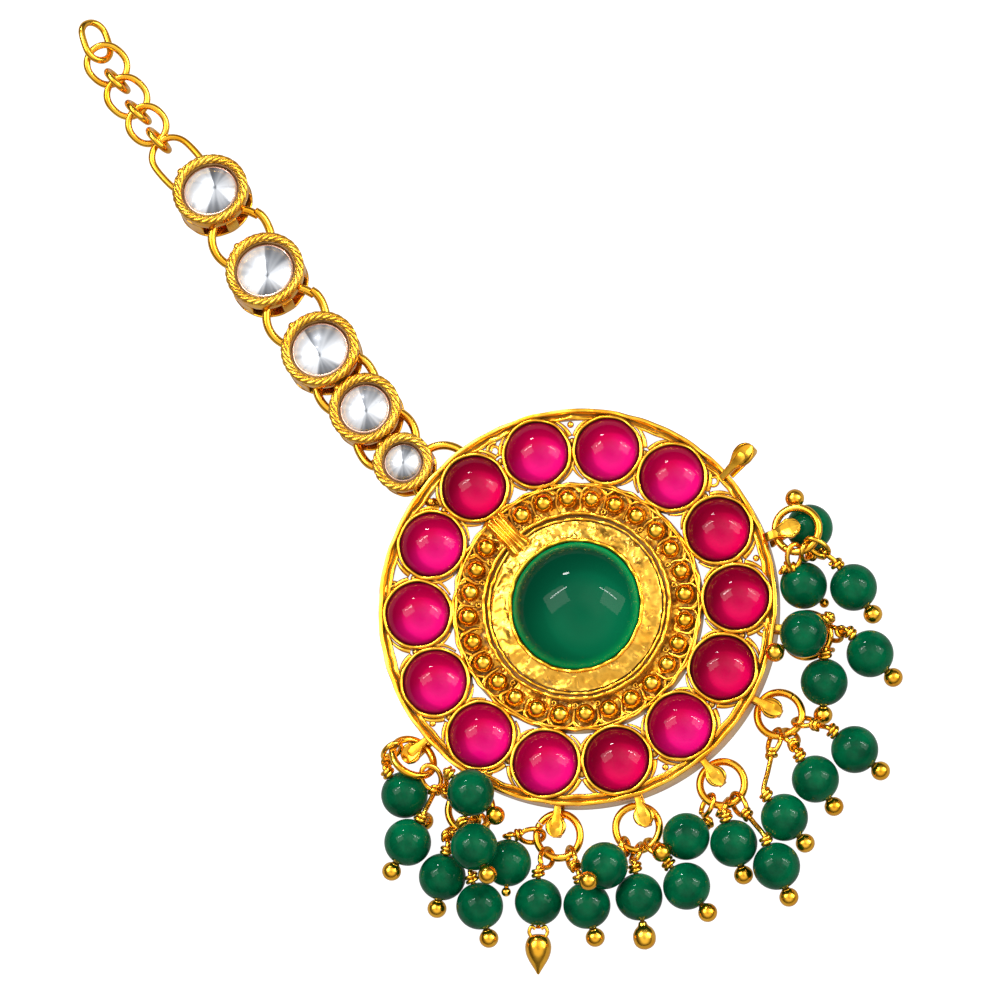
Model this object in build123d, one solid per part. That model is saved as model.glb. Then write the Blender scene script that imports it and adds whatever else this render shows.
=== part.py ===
from build123d import *
import os
from dataclasses import dataclass
from math import acos, atan2, cos, degrees, hypot, radians, sin

# Maang tikka (a forehead jewel) lying on a flat surface. Millimetres, +Z up.
# The origin is the centre of the medallion's flat back. +Y runs up the strand to the free end of the chain.

# ---- Medallion: rim, bezel cups, granule tray and centre ----
RIM_RADIUS = 20.95
RIM_WALL = 0.65
RIM_HEIGHT = 3.6
RIM_GROOVE = 0.22
STONE_COUNT = 14
STONE_CIRCLE = 16.75
STONE_RADIUS = 3.34
STONE_DOME = 1.9
STONE_SIDE_TOP = 3.45
CUP_OUTER = 3.76
CUP_INNER = 3.40
CUP_BOTTOM = 1.65
CUP_SEAT = 2.15
CUP_LIP = 3.75
GAP = 0.05

TRAY_OUTER = 13.2
TRAY_INNER = 9.6
TRAY_WALL = 0.36
TRAY_BOTTOM = 1.9
TRAY_FLOOR = 2.4
TRAY_WALL_TOP = 3.55
INNER_WALL_TOP = 3.9
GRANULE_PLACES = 28
GRANULE_CIRCLE = 11.4
GRANULE_RADIUS = 0.97
BRIDGE_DEG = 93.0
BRIDGE_WIDTH = 1.9
BAND_OUTER = 8.9
BAND_OVERLAP = 0.1
BAND_INNER_TOP = 3.85
BAND_OUTER_TOP = 3.4
BAND_BOTTOM = 2.9
STEP_TOP = 3.1
STEP_BOTTOM = 2.6
CENTRE_OUTER = 7.16
CENTRE_INNER = 6.74
CENTRE_LIP = 4.2
CENTRE_STONE_RADIUS = 6.68
CENTRE_STONE_SIDE_TOP = 3.9
CENTRE_DOME = 3.6
BACK_PLATE = 0.6

# ---- Lugs (cast bails) round the lower half of the rim ----
LUG_WIDTH = 1.3
LUG_REACH = 3.25
BARE_LUG_REACH = 4.2
LUG_HALF_HEIGHT = 1.45
LUG_WALL = 0.45
LUG_MID_Z = 1.75

# ---- Rings and wire ----
JOIN_RING_RADIUS = 3.15
JOIN_RING_WIRE = 0.42
JOIN_RING_Z = 1.0
JOIN_RING_BITE = 0.6
DROP_RING_RADIUS = 2.3
DROP_RING_WIRE = 0.4
CHAIN_WIRE = 0.37

# ---- Kundan settings of the strand ----
ROPE_WIRE = 0.45
SETTING_PLATE = 0.3
SETTING_CUP_BOTTOM = 1.9
SETTING_SEAT = 2.2
SETTING_SLOT = (SETTING_PLATE + SETTING_CUP_BOTTOM) / 2
LEAN_TOWARDS_DEG = 48
SETTING_LIP = 3.4
SETTING_ROPE_Z = 3.6
POST_WALL = 0.6
POST_WIDTH = 1.3
KUNDAN_STEP = 1.2
KUNDAN_FACETS = 12
KUNDAN_CROWN = 0.62
KUNDAN_TABLE_SHARE = 0.6
KUNDAN_CULET_SHARE = 0.12

# ---- Bead drops ----
BEAD_RADIUS = 2.45
BEAD_HOLE = 0.36
PIN_WIRE = 0.25
BALL_RADIUS = 1.0
EYE_RADIUS = 0.78
COLLAR_RADIUS = 0.4
COLLAR_WIRE = 0.2
COLLAR_TURNS = 2
COLLAR_LENGTH = 1.0
SHORT_COLLAR = 0.45
# Half outline of the teardrop: radius and distance past the bead.
TEARDROP = (
    (0, 0.06),
    (0.34, 0.06),
    (0.5, 0.8),
    (1.1, 1.25),
    (1.4, 2.1),
    (1.3, 2.9),
    (0.9, 3.9),
    (0.4, 4.9),
    (0, 5.6),
)
BELL_NECK_RADIUS = 0.34
BELL_RADIUS = 1.2
BELL_MIDDLE = 1.85


@dataclass(frozen=True)
class Setting:
    """A kundan setting: its plate's centre, its rope rim's outer radius, its lean and the ways to its posts."""

    x: float
    y: float
    radius: float
    lean_deg: float
    top_deg: float
    foot_deg: float


@dataclass(frozen=True)
class Link:
    """A chain link: centre, outer length and width, then yaw, pitch and roll of its long axis."""

    x: float
    y: float
    z: float
    length: float
    width: float
    yaw_deg: float
    pitch_deg: float
    roll_deg: float


@dataclass(frozen=True)
class Lug:
    """A lug on the rim and the jump ring that hangs in it (ring_radius 0 for a bare lug)."""

    deg: float
    raise_deg: float
    ring_deg: float
    ring_radius: float
    ring_z: float
    ring_tilt: float


@dataclass(frozen=True)
class Drop:
    """A bead on a head pin: its ring, its centre, where its pin points, its end, and where its eye sits."""

    ring: int
    x: float
    y: float
    z: float
    pin_deg: float
    pin_rise: float
    end: str = "ball"
    eye_deg: float | None = None


# Settings from the free end down to the medallion.
SETTINGS = (
    Setting(-0.97, 59.64, 4.10, 12, 92, -96),
    Setting(-2.10, 49.03, 4.25, 11, 84, -95),
    Setting(-3.03, 38.68, 4.20, 7.5, 85, -93),
    Setting(-3.42, 30.78, 3.85, 4.5, 88, -94),
    Setting(-3.92, 23.90, 3.20, 0, 86, -70),
)

# How far each joining ring sits from the middle of its two settings, towards the upper one.
JOINING_RING_SHIFTS = (0.0, 0.0, -0.05, 0.22)
# The last joining ring lies flat and goes from the lowest setting round the rim, through two windows in it.
LAST_RING = (-1.6, 20.65)
RIM_WINDOW_WIDTH = 1.7
RIM_WINDOW_TOP = 1.6
RIM_WINDOW_BOTTOM = 0.4

# Links from the free end down to the first setting. Wide links lie nearly flat, and short ones stand between.
LINKS = (
    Link(0.65, 81.9, 2.15, 5.2, 3.9, 68, 0, 46),
    Link(-0.1, 79.21, 1.75, 5.2, 4.7, 96, 13, 0),
    Link(-0.42, 77.02, 1.87, 3.7, 3.7, 92, 0, 80),
    Link(-0.72, 75.0, 1.75, 5.2, 4.7, 96, 13, 0),
    Link(-0.9, 72.8, 1.86, 3.7, 3.7, 94, 0, 80),
    Link(-1.05, 71.1, 1.75, 4.9, 4.6, 94, 13, 0),
    Link(-1.2, 68.90, 1.87, 3.7, 3.7, 90, 0, 80),
    Link(-1.25, 65.40, 1.83, 7.2, 5.2, 91, 4.7, 8),
)

LUGS = (
    Lug(-179.5, 0, -178, 23.2, 3.45, 44),
    Lug(-159, 0, -159, 23.85, 1.25, 0),
    Lug(-135.8, 0, -135.5, 23.85, 1.25, 0),
    Lug(-112.8, 0, -115.5, 23.85, 1.25, 0),
    Lug(-91.5, 0, -91.5, 23.85, 1.25, 0),
    Lug(-68.8, 0, -69, 23.85, 1.25, 0),
    Lug(-47.5, 0, -48, 24.1, 1.25, 0),
    Lug(-22.5, 58, -23, 24.35, 5.15, 8),
    Lug(0.7, 25, 0, 0, 0, 0),
)

DROPS = (
    Drop(1, -26.4, -3.0, 2.5, -95, -25, "ball", -62),
    Drop(1, -29.3, -7.2, 3.3, -162, -12, "ball", 96),
    Drop(2, -20.9, -8.1, 5.8, -83, -5, "ball", -101),
    Drop(2, -28.9, -12.2, 2.5, -144, -22, "ball", -10),
    Drop(2, -24.2, -12.75, 6.4, -103, 15, "ball", 70),
    Drop(2, -27.9, -17.1, 2.5, -116, -15, "ball", 30),
    Drop(3, -22.8, -15.6, 2.5, -134, -5, "small"),
    Drop(3, -23.0, -20.8, 2.5, -132, -12, "teardrop"),
    Drop(3, -19.4, -24.4, 2.5, -118, -20),
    Drop(4, -15.3, -22.9, 5.0, -165, 50),
    Drop(4, -14.75, -27.3, 2.5, -124, -12, "bell"),
    Drop(4, -10.3, -29.7, 2.5, -92, -2),
    Drop(5, -7.0, -25.75, 2.5, 178, 32, "ball", -74),
    Drop(5, -3.75, -29.55, 2.5, -115, -22, "ball", -36),
    Drop(5, -1.95, -34.25, 2.5, -110, -20),
    Drop(6, 1.95, -30.95, 2.5, -92, -22),
    Drop(6, 6.95, -30.05, 2.5, -97, -22),
    Drop(6, 12.0, -30.4, 2.5, -80, -18),
    Drop(7, 15.8, -18.3, 5.5, 172, 0, "ball", 38),
    Drop(7, 14.2, -23.0, 2.5, -135, -22),
    Drop(7, 19.7, -23.9, 2.5, -86, -22),
    Drop(8, 23.6, -9.7, 2.48, 75, 25, "ball", -87),
    Drop(8, 19.2, -13.9, 2.5, -80, -30, "small", -115),
    Drop(8, 22.95, -17.5, 2.5, -95, -22),
)


# ---------------------------------------------------------------- small helpers
def polar(radius: float, deg: float, z: float = 0.0) -> Vector:
    """Point at a radius and an angle round the medallion's axis."""
    return Vector(radius * cos(radians(deg)), radius * sin(radians(deg)), z)


def direction(deg: float, rise_deg: float = 0.0) -> Vector:
    """Unit vector with an azimuth and a rise above the horizontal."""
    return Vector(
        cos(radians(deg)) * cos(radians(rise_deg)),
        sin(radians(deg)) * cos(radians(rise_deg)),
        sin(radians(rise_deg)),
    )


def frame_at(point: Vector, normal: Vector, x_dir: Vector | None = None) -> Location:
    """Location with its local Z along normal."""
    return Plane(origin=point, x_dir=x_dir, z_dir=normal).location


def box_section(r_in: float, r_out: float, z_low: float, z_high: float) -> Face:
    """Rectangle in the XZ half plane, ready to be turned round Z."""
    corners = [(r_in, 0, z_low), (r_out, 0, z_low), (r_out, 0, z_high), (r_in, 0, z_high)]
    return Face(Wire.make_polygon(corners))


def turned(*sections: Face) -> Part:
    """Fuse sections of the XZ half plane and turn them round the Z axis."""
    joined = sections[0]
    for section in sections[1:]:
        joined = joined + section
    return revolve(joined, Axis.Z, 360)


def rod(start: Vector, end: Vector, radius: float) -> Part:
    """Round wire between two points."""
    run = end - start
    return frame_at(start, run) * Cylinder(radius, run.length, align=(Align.CENTER, Align.CENTER, Align.MIN))


def cabochon(radius: float, bottom: float, side_top: float, dome: float) -> Part:
    """Domed stone with a straight side, standing on the Z axis."""
    ball_radius = (radius**2 + dome**2) / (2 * dome)
    apex = side_top + dome
    side = Pos(0, 0, bottom) * Cylinder(radius, apex - bottom, align=(Align.CENTER, Align.CENTER, Align.MIN))
    return side & Pos(0, 0, apex - ball_radius) * Sphere(ball_radius)


# ---------------------------------------------------------------- medallion
def rim() -> Part:
    """Outer band with a shallow groove along its top edge."""
    inner = RIM_RADIUS - RIM_WALL
    middle = RIM_RADIUS - RIM_WALL / 2
    corners = [
        (inner, 0, 0),
        (RIM_RADIUS, 0, 0),
        (RIM_RADIUS, 0, RIM_HEIGHT),
        (RIM_RADIUS - 0.12, 0, RIM_HEIGHT),
        (middle, 0, RIM_HEIGHT - RIM_GROOVE),
        (inner + 0.12, 0, RIM_HEIGHT),
        (inner, 0, RIM_HEIGHT),
    ]
    return revolve(Face(Wire.make_polygon(corners)), Axis.Z, 360)


def bezel_cup() -> Part:
    """Cup that holds one round stone, on the Z axis."""
    return turned(
        box_section(0, CUP_OUTER, CUP_BOTTOM, CUP_SEAT),
        box_section(CUP_INNER, CUP_OUTER, CUP_BOTTOM, CUP_LIP),
    )


def centre_shell() -> Part:
    """Back plate, centre bezel, hammered band, step, and the tray that holds the granules."""
    slope = [
        (CENTRE_OUTER - BAND_OVERLAP, 0, BAND_BOTTOM + 0.4),
        (BAND_OUTER + BAND_OVERLAP, 0, BAND_BOTTOM),
        (BAND_OUTER + BAND_OVERLAP, 0, BAND_OUTER_TOP),
        (CENTRE_OUTER - BAND_OVERLAP, 0, BAND_INNER_TOP),
    ]
    return turned(
        box_section(0, CENTRE_OUTER, 0, BACK_PLATE),
        box_section(CENTRE_INNER, CENTRE_OUTER, 0, CENTRE_LIP),
        Face(Wire.make_polygon(slope)),
        box_section(BAND_OUTER, TRAY_INNER + BAND_OVERLAP, STEP_BOTTOM, STEP_TOP),
        box_section(TRAY_INNER, TRAY_INNER + TRAY_WALL, TRAY_BOTTOM, INNER_WALL_TOP),
        box_section(TRAY_INNER, TRAY_OUTER, TRAY_BOTTOM, TRAY_FLOOR),
        box_section(TRAY_OUTER - TRAY_WALL, TRAY_OUTER, CUP_BOTTOM, TRAY_WALL_TOP),
    )


def bridge() -> Part:
    """Folded strip that runs over the granule tray in line with the strand."""
    outline = [
        (TRAY_OUTER - 0.1, 0, 3.0),
        (TRAY_OUTER - 0.1, 0, 3.6),
        (12.3, 0, 4.1),
        (10.6, 0, 4.3),
        (9.4, 0, 4.35),
        (8.3, 0, 3.9),
        (8.1, 0, 3.3),
        (9.3, 0, 3.5),
        (9.7, 0, TRAY_FLOOR - 0.1),
        (12.6, 0, TRAY_FLOOR - 0.1),
    ]
    strip = extrude(Face(Wire.make_polygon(outline)), amount=BRIDGE_WIDTH / 2, dir=(0, 1, 0), both=True)
    return Rot(0, 0, BRIDGE_DEG) * strip


def granules() -> list[Part]:
    """Balls on the tray floor, all but the place under the bridge."""
    step = 360 / GRANULE_PLACES
    height = TRAY_FLOOR + GRANULE_RADIUS * 0.8
    places = [polar(GRANULE_CIRCLE, BRIDGE_DEG + k * step, height) for k in range(1, GRANULE_PLACES)]
    return [Pos(place) * Sphere(GRANULE_RADIUS) for place in places]


def lug(spec: Lug) -> Part:
    """Cast bail: a tongue standing out of the rim with an eye for a jump ring."""
    reach = LUG_REACH if spec.ring_radius else BARE_LUG_REACH
    nose = reach - LUG_HALF_HEIGHT
    root = -RIM_WALL / 2
    body = Pos((nose + root) / 2, 0, 0) * Box(nose - root, LUG_WIDTH, 2 * LUG_HALF_HEIGHT)
    lying = Rot(90, 0, 0)
    body += Pos(nose, 0, 0) * lying * Cylinder(LUG_HALF_HEIGHT, LUG_WIDTH)
    long_edges = body.edges().filter_by(GeomType.CIRCLE)
    body = fillet(long_edges, 0.3)
    eye = LUG_HALF_HEIGHT - LUG_WALL
    body -= Pos(nose, 0, 0) * lying * Cylinder(eye, LUG_WIDTH * 2)
    body -= Pos(nose / 2 + 0.02, 0, 0) * Box(nose - 0.04, LUG_WIDTH * 2, 2 * eye)
    tilt = Rot(0, -spec.raise_deg, 0)
    lift = LUG_MID_Z + (RIM_HEIGHT - 0.65 - LUG_MID_Z) * min(1.0, spec.raise_deg / 50)
    return Rot(0, 0, spec.deg) * Pos(RIM_RADIUS, 0, lift) * tilt * body


def stone_degrees() -> list[float]:
    """Angles of the red stones, the first one on the strand's axis."""
    return [90 - k * 360 / STONE_COUNT for k in range(STONE_COUNT)]


def rim_window_degrees() -> list[float]:
    """Angles where the last joining ring crosses the rim."""
    x, y = LAST_RING
    middle = RIM_RADIUS - RIM_WALL / 2
    out = hypot(x, y)
    half = degrees(acos((out**2 + middle**2 - JOIN_RING_RADIUS**2) / (2 * out * middle)))
    axis = degrees(atan2(y, x))
    return [axis - half, axis + half]


def medallion_frame() -> Part:
    """All the soldered metal of the medallion as one solid."""
    metal = rim() + centre_shell()
    metal += [Pos(polar(STONE_CIRCLE, deg)) * bezel_cup() for deg in stone_degrees()]
    metal += bridge()
    metal += granules()
    metal += [lug(spec) for spec in LUGS]
    height = RIM_WINDOW_TOP - RIM_WINDOW_BOTTOM
    opening = Box(4 * RIM_WALL, RIM_WINDOW_WIDTH, height)
    for deg in rim_window_degrees():
        metal -= Rot(0, 0, deg) * Pos(RIM_RADIUS, 0, RIM_WINDOW_BOTTOM + height / 2) * opening
    return metal


# ---------------------------------------------------------------- strand
def seated(spec: Setting) -> Location:
    """Place of a setting: it leans, with the low edge of its plate on the table."""
    lift = spec.radius * sin(radians(spec.lean_deg))
    lean = Rot(0, 0, LEAN_TOWARDS_DEG) * Rot(0, spec.lean_deg, 0) * Rot(0, 0, -LEAN_TOWARDS_DEG)
    return Pos(spec.x, spec.y, lift) * lean


def setting_normal(spec: Setting) -> Vector:
    """Direction in which a setting faces."""
    place = seated(spec)
    return (place * Pos(0, 0, 1)).position - place.position


def kundan_setting(spec: Setting) -> Part:
    """Cup with a rope rim, on a plate with an end post at each side for the joining rings."""
    edge = spec.radius - 0.12
    stone = spec.radius - KUNDAN_STEP
    body = turned(
        box_section(0, edge, 0, SETTING_PLATE),
        box_section(0, edge - 0.15, SETTING_CUP_BOTTOM, SETTING_SEAT),
        box_section(stone + GAP, edge - 0.15, SETTING_CUP_BOTTOM, SETTING_LIP),
    )
    wall = turned(box_section(edge - POST_WALL, edge, 0, SETTING_CUP_BOTTOM + 0.3))
    slab = Pos(spec.radius, 0, 0) * Box(2 * spec.radius, POST_WIDTH, 4 * SETTING_LIP)
    for deg in (spec.top_deg, spec.foot_deg):
        body += wall & Rot(0, 0, deg) * slab
    body += Pos(0, 0, SETTING_ROPE_Z) * Torus(spec.radius - ROPE_WIRE, ROPE_WIRE)
    return seated(spec) * body


def kundan_stone(spec: Setting) -> Part:
    """Foil-backed glass: a table, a ring of crown facets and a pointed pavilion."""
    radius = spec.radius - KUNDAN_STEP
    girdle = SETTING_LIP - 0.25
    outline = Pos(0, 0, girdle) * RegularPolygon(radius, KUNDAN_FACETS)
    table = Pos(0, 0, girdle + KUNDAN_CROWN) * RegularPolygon(radius * KUNDAN_TABLE_SHARE, KUNDAN_FACETS)
    culet = Pos(0, 0, SETTING_SEAT + GAP) * RegularPolygon(radius * KUNDAN_CULET_SHARE, KUNDAN_FACETS)
    return seated(spec) * (loft([outline, table]) + loft([outline, culet]))


def slot_point(spec: Setting, towards: Vector, depth: float) -> Vector:
    """Point in the slot under a setting's cup, a depth from its middle."""
    return (seated(spec) * Pos(towards * depth + Vector(0, 0, SETTING_SLOT))).position


def joining_ring(upper: Setting, lower: Setting, shift: float) -> Part:
    """Round ring from setting to setting, in the middle of both slots a short bite before its ends."""
    way = Vector(lower.x - upper.x, lower.y - upper.y, 0)
    depth = way.length / 2 - JOIN_RING_RADIUS + JOIN_RING_BITE
    way = way.normalized()
    start = slot_point(upper, way, depth - shift)
    run = slot_point(lower, way * -1, depth + shift) - start
    side = (setting_normal(upper) + setting_normal(lower)).cross(run)
    return frame_at(start + run * 0.5, run.cross(side), run) * Torus(JOIN_RING_RADIUS, JOIN_RING_WIRE)


def last_joining_ring() -> Part:
    """Ring that lies flat and holds the strand to the rim."""
    return Pos(*LAST_RING, JOIN_RING_Z) * Torus(JOIN_RING_RADIUS, JOIN_RING_WIRE)


def chain_link(spec: Link) -> Part:
    """Oval link: two straight sides and two round ends, turned to its yaw, pitch and roll."""
    bend = spec.width / 2 - CHAIN_WIRE
    straight = spec.length - spec.width
    if straight < 0.05:
        ring = Torus(bend, CHAIN_WIRE)
    else:
        path = SlotOverall(spec.length - 2 * CHAIN_WIRE, 2 * bend).wire()
        start = path.position_at(0)
        ring = sweep(Plane(origin=start, z_dir=path.tangent_at(0)) * Circle(CHAIN_WIRE), path)
    turn = Rot(0, 0, spec.yaw_deg) * Rot(0, -spec.pitch_deg, 0) * Rot(spec.roll_deg, 0, 0)
    return Pos(spec.x, spec.y, spec.z) * turn * ring


# ---------------------------------------------------------------- drops
def ring_axes(spec: Lug) -> tuple[Vector, Vector, Vector]:
    """Centre of a jump ring, its outward direction and its sideways direction."""
    centre = polar(spec.ring_radius, spec.ring_deg, spec.ring_z)
    return centre, direction(spec.ring_deg, spec.ring_tilt), direction(spec.ring_deg + 90)


def drop_ring(spec: Lug) -> Part:
    """Jump ring in a lug."""
    centre, outward, sideways = ring_axes(spec)
    return frame_at(centre, outward.cross(sideways), outward) * Torus(DROP_RING_RADIUS, DROP_RING_WIRE)


def elbow(drop: Drop) -> Vector:
    """Where the head pin leaves the bead's line, past the collar."""
    collar = SHORT_COLLAR if drop.end == "small" else COLLAR_LENGTH
    reach = BEAD_RADIUS + GAP + collar
    return Vector(drop.x, drop.y, drop.z) - direction(drop.pin_deg, drop.pin_rise) * reach


def eye_place(drop: Drop) -> tuple[Vector, Vector]:
    """Point of the jump ring that the eye goes round, and the ring's direction there."""
    centre, outward, sideways = ring_axes(LUGS[drop.ring - 1])
    away = elbow(drop) - centre
    angle = atan2(away.dot(sideways), away.dot(outward))
    if drop.eye_deg is not None:
        angle = radians(drop.eye_deg)
    point = centre + (outward * cos(angle) + sideways * sin(angle)) * DROP_RING_RADIUS
    along = sideways * cos(angle) - outward * sin(angle)
    return point, along


def bead(drop: Drop) -> Part:
    """Round bead drilled for its head pin."""
    line = direction(drop.pin_deg, drop.pin_rise)
    hole = Cylinder(BEAD_HOLE, BEAD_RADIUS * 3)
    return frame_at(Vector(drop.x, drop.y, drop.z), line) * (Sphere(BEAD_RADIUS) - hole)


def pin_end(kind: str) -> Part:
    """End of a head pin beyond the bead, along +Z from the bead's surface."""
    if kind == "teardrop":
        outline = [(r, 0, z) for r, z in TEARDROP]
        return revolve(Face(Wire.make_polygon(outline)), Axis.Z, 360)
    if kind == "bell":
        neck = rod(Vector(0, 0, GAP), Vector(0, 0, BELL_MIDDLE), BELL_NECK_RADIUS)
        return neck + Pos(0, 0, BELL_MIDDLE) * Sphere(BELL_RADIUS)
    radius = BALL_RADIUS if kind == "ball" else BALL_RADIUS * 0.5
    return Pos(0, 0, radius + GAP) * Sphere(radius)


def head_pin(drop: Drop) -> Part:
    """Wire from the ball through the bead, coiled into a collar, and closed in an eye round the jump ring."""
    middle = Vector(drop.x, drop.y, drop.z)
    line = direction(drop.pin_deg, drop.pin_rise)
    bend = elbow(drop)
    point, along = eye_place(drop)
    away = bend - point
    in_plane = (away - along * away.dot(along)).normalized()
    start = point + in_plane * EYE_RADIUS
    wire = frame_at(point, along) * Torus(EYE_RADIUS, PIN_WIRE)
    wire += rod(start, bend, PIN_WIRE)
    wire += Pos(bend) * Sphere(PIN_WIRE)
    wire += rod(bend, middle + line * (BEAD_RADIUS + GAP + 0.25), PIN_WIRE)
    turns = 1 if drop.end == "small" else COLLAR_TURNS
    for turn in range(turns):
        place = middle - line * (BEAD_RADIUS + GAP + COLLAR_WIRE + turn * COLLAR_WIRE * 1.8)
        wire += frame_at(place, line) * Torus(COLLAR_RADIUS, COLLAR_WIRE)
    wire += frame_at(middle + line * BEAD_RADIUS, line) * pin_end(drop.end)
    return wire


# ---------------------------------------------------------------- write the parts
def write(node: str, shape: Part) -> None:
    """Write one node."""
    export_step(shape, f"parts/{node}.step")


def write_group(node: str, shapes: list) -> None:
    """Write loose solids of one kind as one node."""
    solids = [solid for shape in shapes for solid in shape.solids()]
    export_step(Compound(solids), f"parts/{node}.step")


def main() -> None:
    """Build every node."""
    os.makedirs("parts", exist_ok=True)
    write("medallion_frame", medallion_frame())
    write("center_stone", cabochon(CENTRE_STONE_RADIUS, BACK_PLATE + GAP, CENTRE_STONE_SIDE_TOP, CENTRE_DOME))
    stone = cabochon(STONE_RADIUS, CUP_SEAT + GAP, STONE_SIDE_TOP, STONE_DOME)
    for number, deg in enumerate(stone_degrees(), 1):
        write(f"red_stone_{number:02d}", Pos(polar(STONE_CIRCLE, deg)) * stone)
    for number, spec in enumerate(SETTINGS, 1):
        write(f"kundan_setting_{number}", kundan_setting(spec))
        write(f"kundan_stone_{number}", kundan_stone(spec))
    for number, (upper, lower, shift) in enumerate(zip(SETTINGS, SETTINGS[1:], JOINING_RING_SHIFTS), 1):
        write(f"joining_ring_{number}", joining_ring(upper, lower, shift))
    write(f"joining_ring_{len(SETTINGS)}", last_joining_ring())
    write_group("top_chain", [chain_link(spec) for spec in LINKS])
    for number, spec in enumerate(LUGS, 1):
        hanging = [drop for drop in DROPS if drop.ring == number]
        if hanging:
            write(f"drop_ring_{number}", drop_ring(spec))
            write_group(f"bead_group_{number}", [bead(drop) for drop in hanging])
            write_group(f"head_pin_group_{number}", [head_pin(drop) for drop in hanging])


if __name__ == "__main__":
    main()
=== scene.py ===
"""Dressed model of a maang tikka lying on a pale table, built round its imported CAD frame."""

import logging
import math
from collections.abc import Callable, Sequence
from dataclasses import dataclass, field
from enum import Enum

import bmesh
import bpy
import numpy as np
from mathutils import Matrix, Vector
from mathutils import noise as grain


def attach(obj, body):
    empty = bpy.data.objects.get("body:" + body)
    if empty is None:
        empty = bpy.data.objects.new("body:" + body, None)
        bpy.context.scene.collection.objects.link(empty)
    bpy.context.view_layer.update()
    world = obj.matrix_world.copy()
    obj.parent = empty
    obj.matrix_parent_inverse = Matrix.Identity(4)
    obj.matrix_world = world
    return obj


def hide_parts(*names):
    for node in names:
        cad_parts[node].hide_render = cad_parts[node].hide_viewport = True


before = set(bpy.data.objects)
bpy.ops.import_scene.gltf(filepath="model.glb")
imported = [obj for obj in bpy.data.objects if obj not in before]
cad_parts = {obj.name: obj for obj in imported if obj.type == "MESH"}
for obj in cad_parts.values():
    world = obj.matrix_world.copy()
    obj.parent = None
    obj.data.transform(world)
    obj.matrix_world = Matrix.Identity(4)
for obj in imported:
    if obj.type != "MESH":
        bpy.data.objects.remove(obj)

LOG = logging.getLogger("tikka")
MM = 0.001
TURN = 2 * math.pi

Array = np.ndarray
Spot = Sequence[float]
Outline = Sequence[tuple[float, float]]
Wobble = Callable[[Array, Array, Array], tuple[Array, Array]]
Marking = Callable[[Array, Array, Array], Array]
Tree = bpy.types.NodeTree
Socket = bpy.types.NodeSocket


# ------------------------------------------------------------------ colours and nodes
def linear(colour: str) -> tuple[float, float, float, float]:
    """Turn an sRGB hex colour to linear red, green and blue, with full opacity."""
    digits = colour.lstrip("#")
    parts = [int(digits[k : k + 2], 16) / 255 for k in (0, 2, 4)]
    curved = [c / 12.92 if c <= 0.04045 else ((c + 0.055) / 1.055) ** 2.4 for c in parts]
    return (*curved, 1.0)


def add_node(tree: Tree, kind: str, sets: dict | None = None, feeds: dict | None = None) -> bpy.types.Node:
    """Add a node with its settings and links.

    Args:
        tree: node tree that gets the node.
        kind: Blender's name of the node type.
        sets: node properties by name.
        feeds: inputs by name or number, each a value or an output socket to link.

    Returns:
        The new node.
    """
    node = tree.nodes.new(kind)
    for name, value in (sets or {}).items():
        setattr(node, name, value)
    for name, value in (feeds or {}).items():
        if isinstance(value, Socket):
            tree.links.new(value, node.inputs[name])
        else:
            node.inputs[name].default_value = value
    return node


def calc(tree: Tree, operation: str, *values: object) -> Socket:
    """Result of a math node on sockets or numbers."""
    return add_node(tree, "ShaderNodeMath", {"operation": operation}, dict(enumerate(values))).outputs[0]


def vector_calc(tree: Tree, operation: str, *values: object) -> Socket:
    """Result of a vector math node, which for a length or a dot product is a number."""
    node = add_node(tree, "ShaderNodeVectorMath", {"operation": operation}, dict(enumerate(values)))
    return node.outputs["Value" if operation in ("LENGTH", "DOT_PRODUCT") else "Vector"]


def mix(tree: Tree, share: object, first: object, second: object, blend: str = "MIX") -> Socket:
    """Blend the first colour into the second by a share."""
    feeds = {"Fac": share, "Color1": first, "Color2": second}
    return add_node(tree, "ShaderNodeMixRGB", {"blend_type": blend}, feeds).outputs[0]


def clouds(tree: Tree, place: Socket, size_mm: float, detail: float) -> Socket:
    """Noise with cells of a real size."""
    feeds = {"Vector": place, "Scale": 1 / (size_mm * MM), "Detail": detail}
    return add_node(tree, "ShaderNodeTexNoise", feeds=feeds).outputs["Fac"]


def ramp(tree: Tree, share: Socket, stops: Sequence[tuple[float, str]]) -> Socket:
    """Colour ramp over a share, from the place and the sRGB colour of each stop."""
    node = add_node(tree, "ShaderNodeValToRGB", feeds={"Fac": share})
    elements = node.color_ramp.elements
    while len(elements) < len(stops):
        elements.new(1.0)
    for element, (place, colour) in zip(elements, stops):
        element.position = place
        element.color = linear(colour)
    return node.outputs["Color"]


def spread(
    tree: Tree,
    value: Socket,
    low: float,
    high: float,
    to: tuple[float, float] = (0.0, 1.0),
    ease: str = "LINEAR",
) -> Socket:
    """Spread a value between two levels over a range.

    Args:
        tree: node tree that gets the node.
        value: value to spread.
        low: level that becomes the range's start.
        high: level that becomes the range's end.
        to: start and end of the range.
        ease: LINEAR, or SMOOTHSTEP for soft ends.

    Returns:
        The spread value.
    """
    feeds = {"Value": value, "From Min": low, "From Max": high, "To Min": to[0], "To Max": to[1]}
    return add_node(tree, "ShaderNodeMapRange", {"interpolation_type": ease}, feeds).outputs[0]


def recess_mark(tree: Tree) -> Socket:
    """Recess mark that the mesh carries: painted shade on the gold, in the hollows partly patina, the painted
    light and shade of the foil's facets, and the copper share of the foil's edge.
    """
    return add_node(tree, "ShaderNodeAttribute", {"attribute_name": "recess"}).outputs["Fac"]


def surface(tree: Tree, feeds: dict) -> None:
    """End a material's tree in one principled surface."""
    shader = add_node(tree, "ShaderNodeBsdfPrincipled", feeds=feeds)
    add_node(tree, "ShaderNodeOutputMaterial", feeds={"Surface": shader.outputs[0]})


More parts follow.
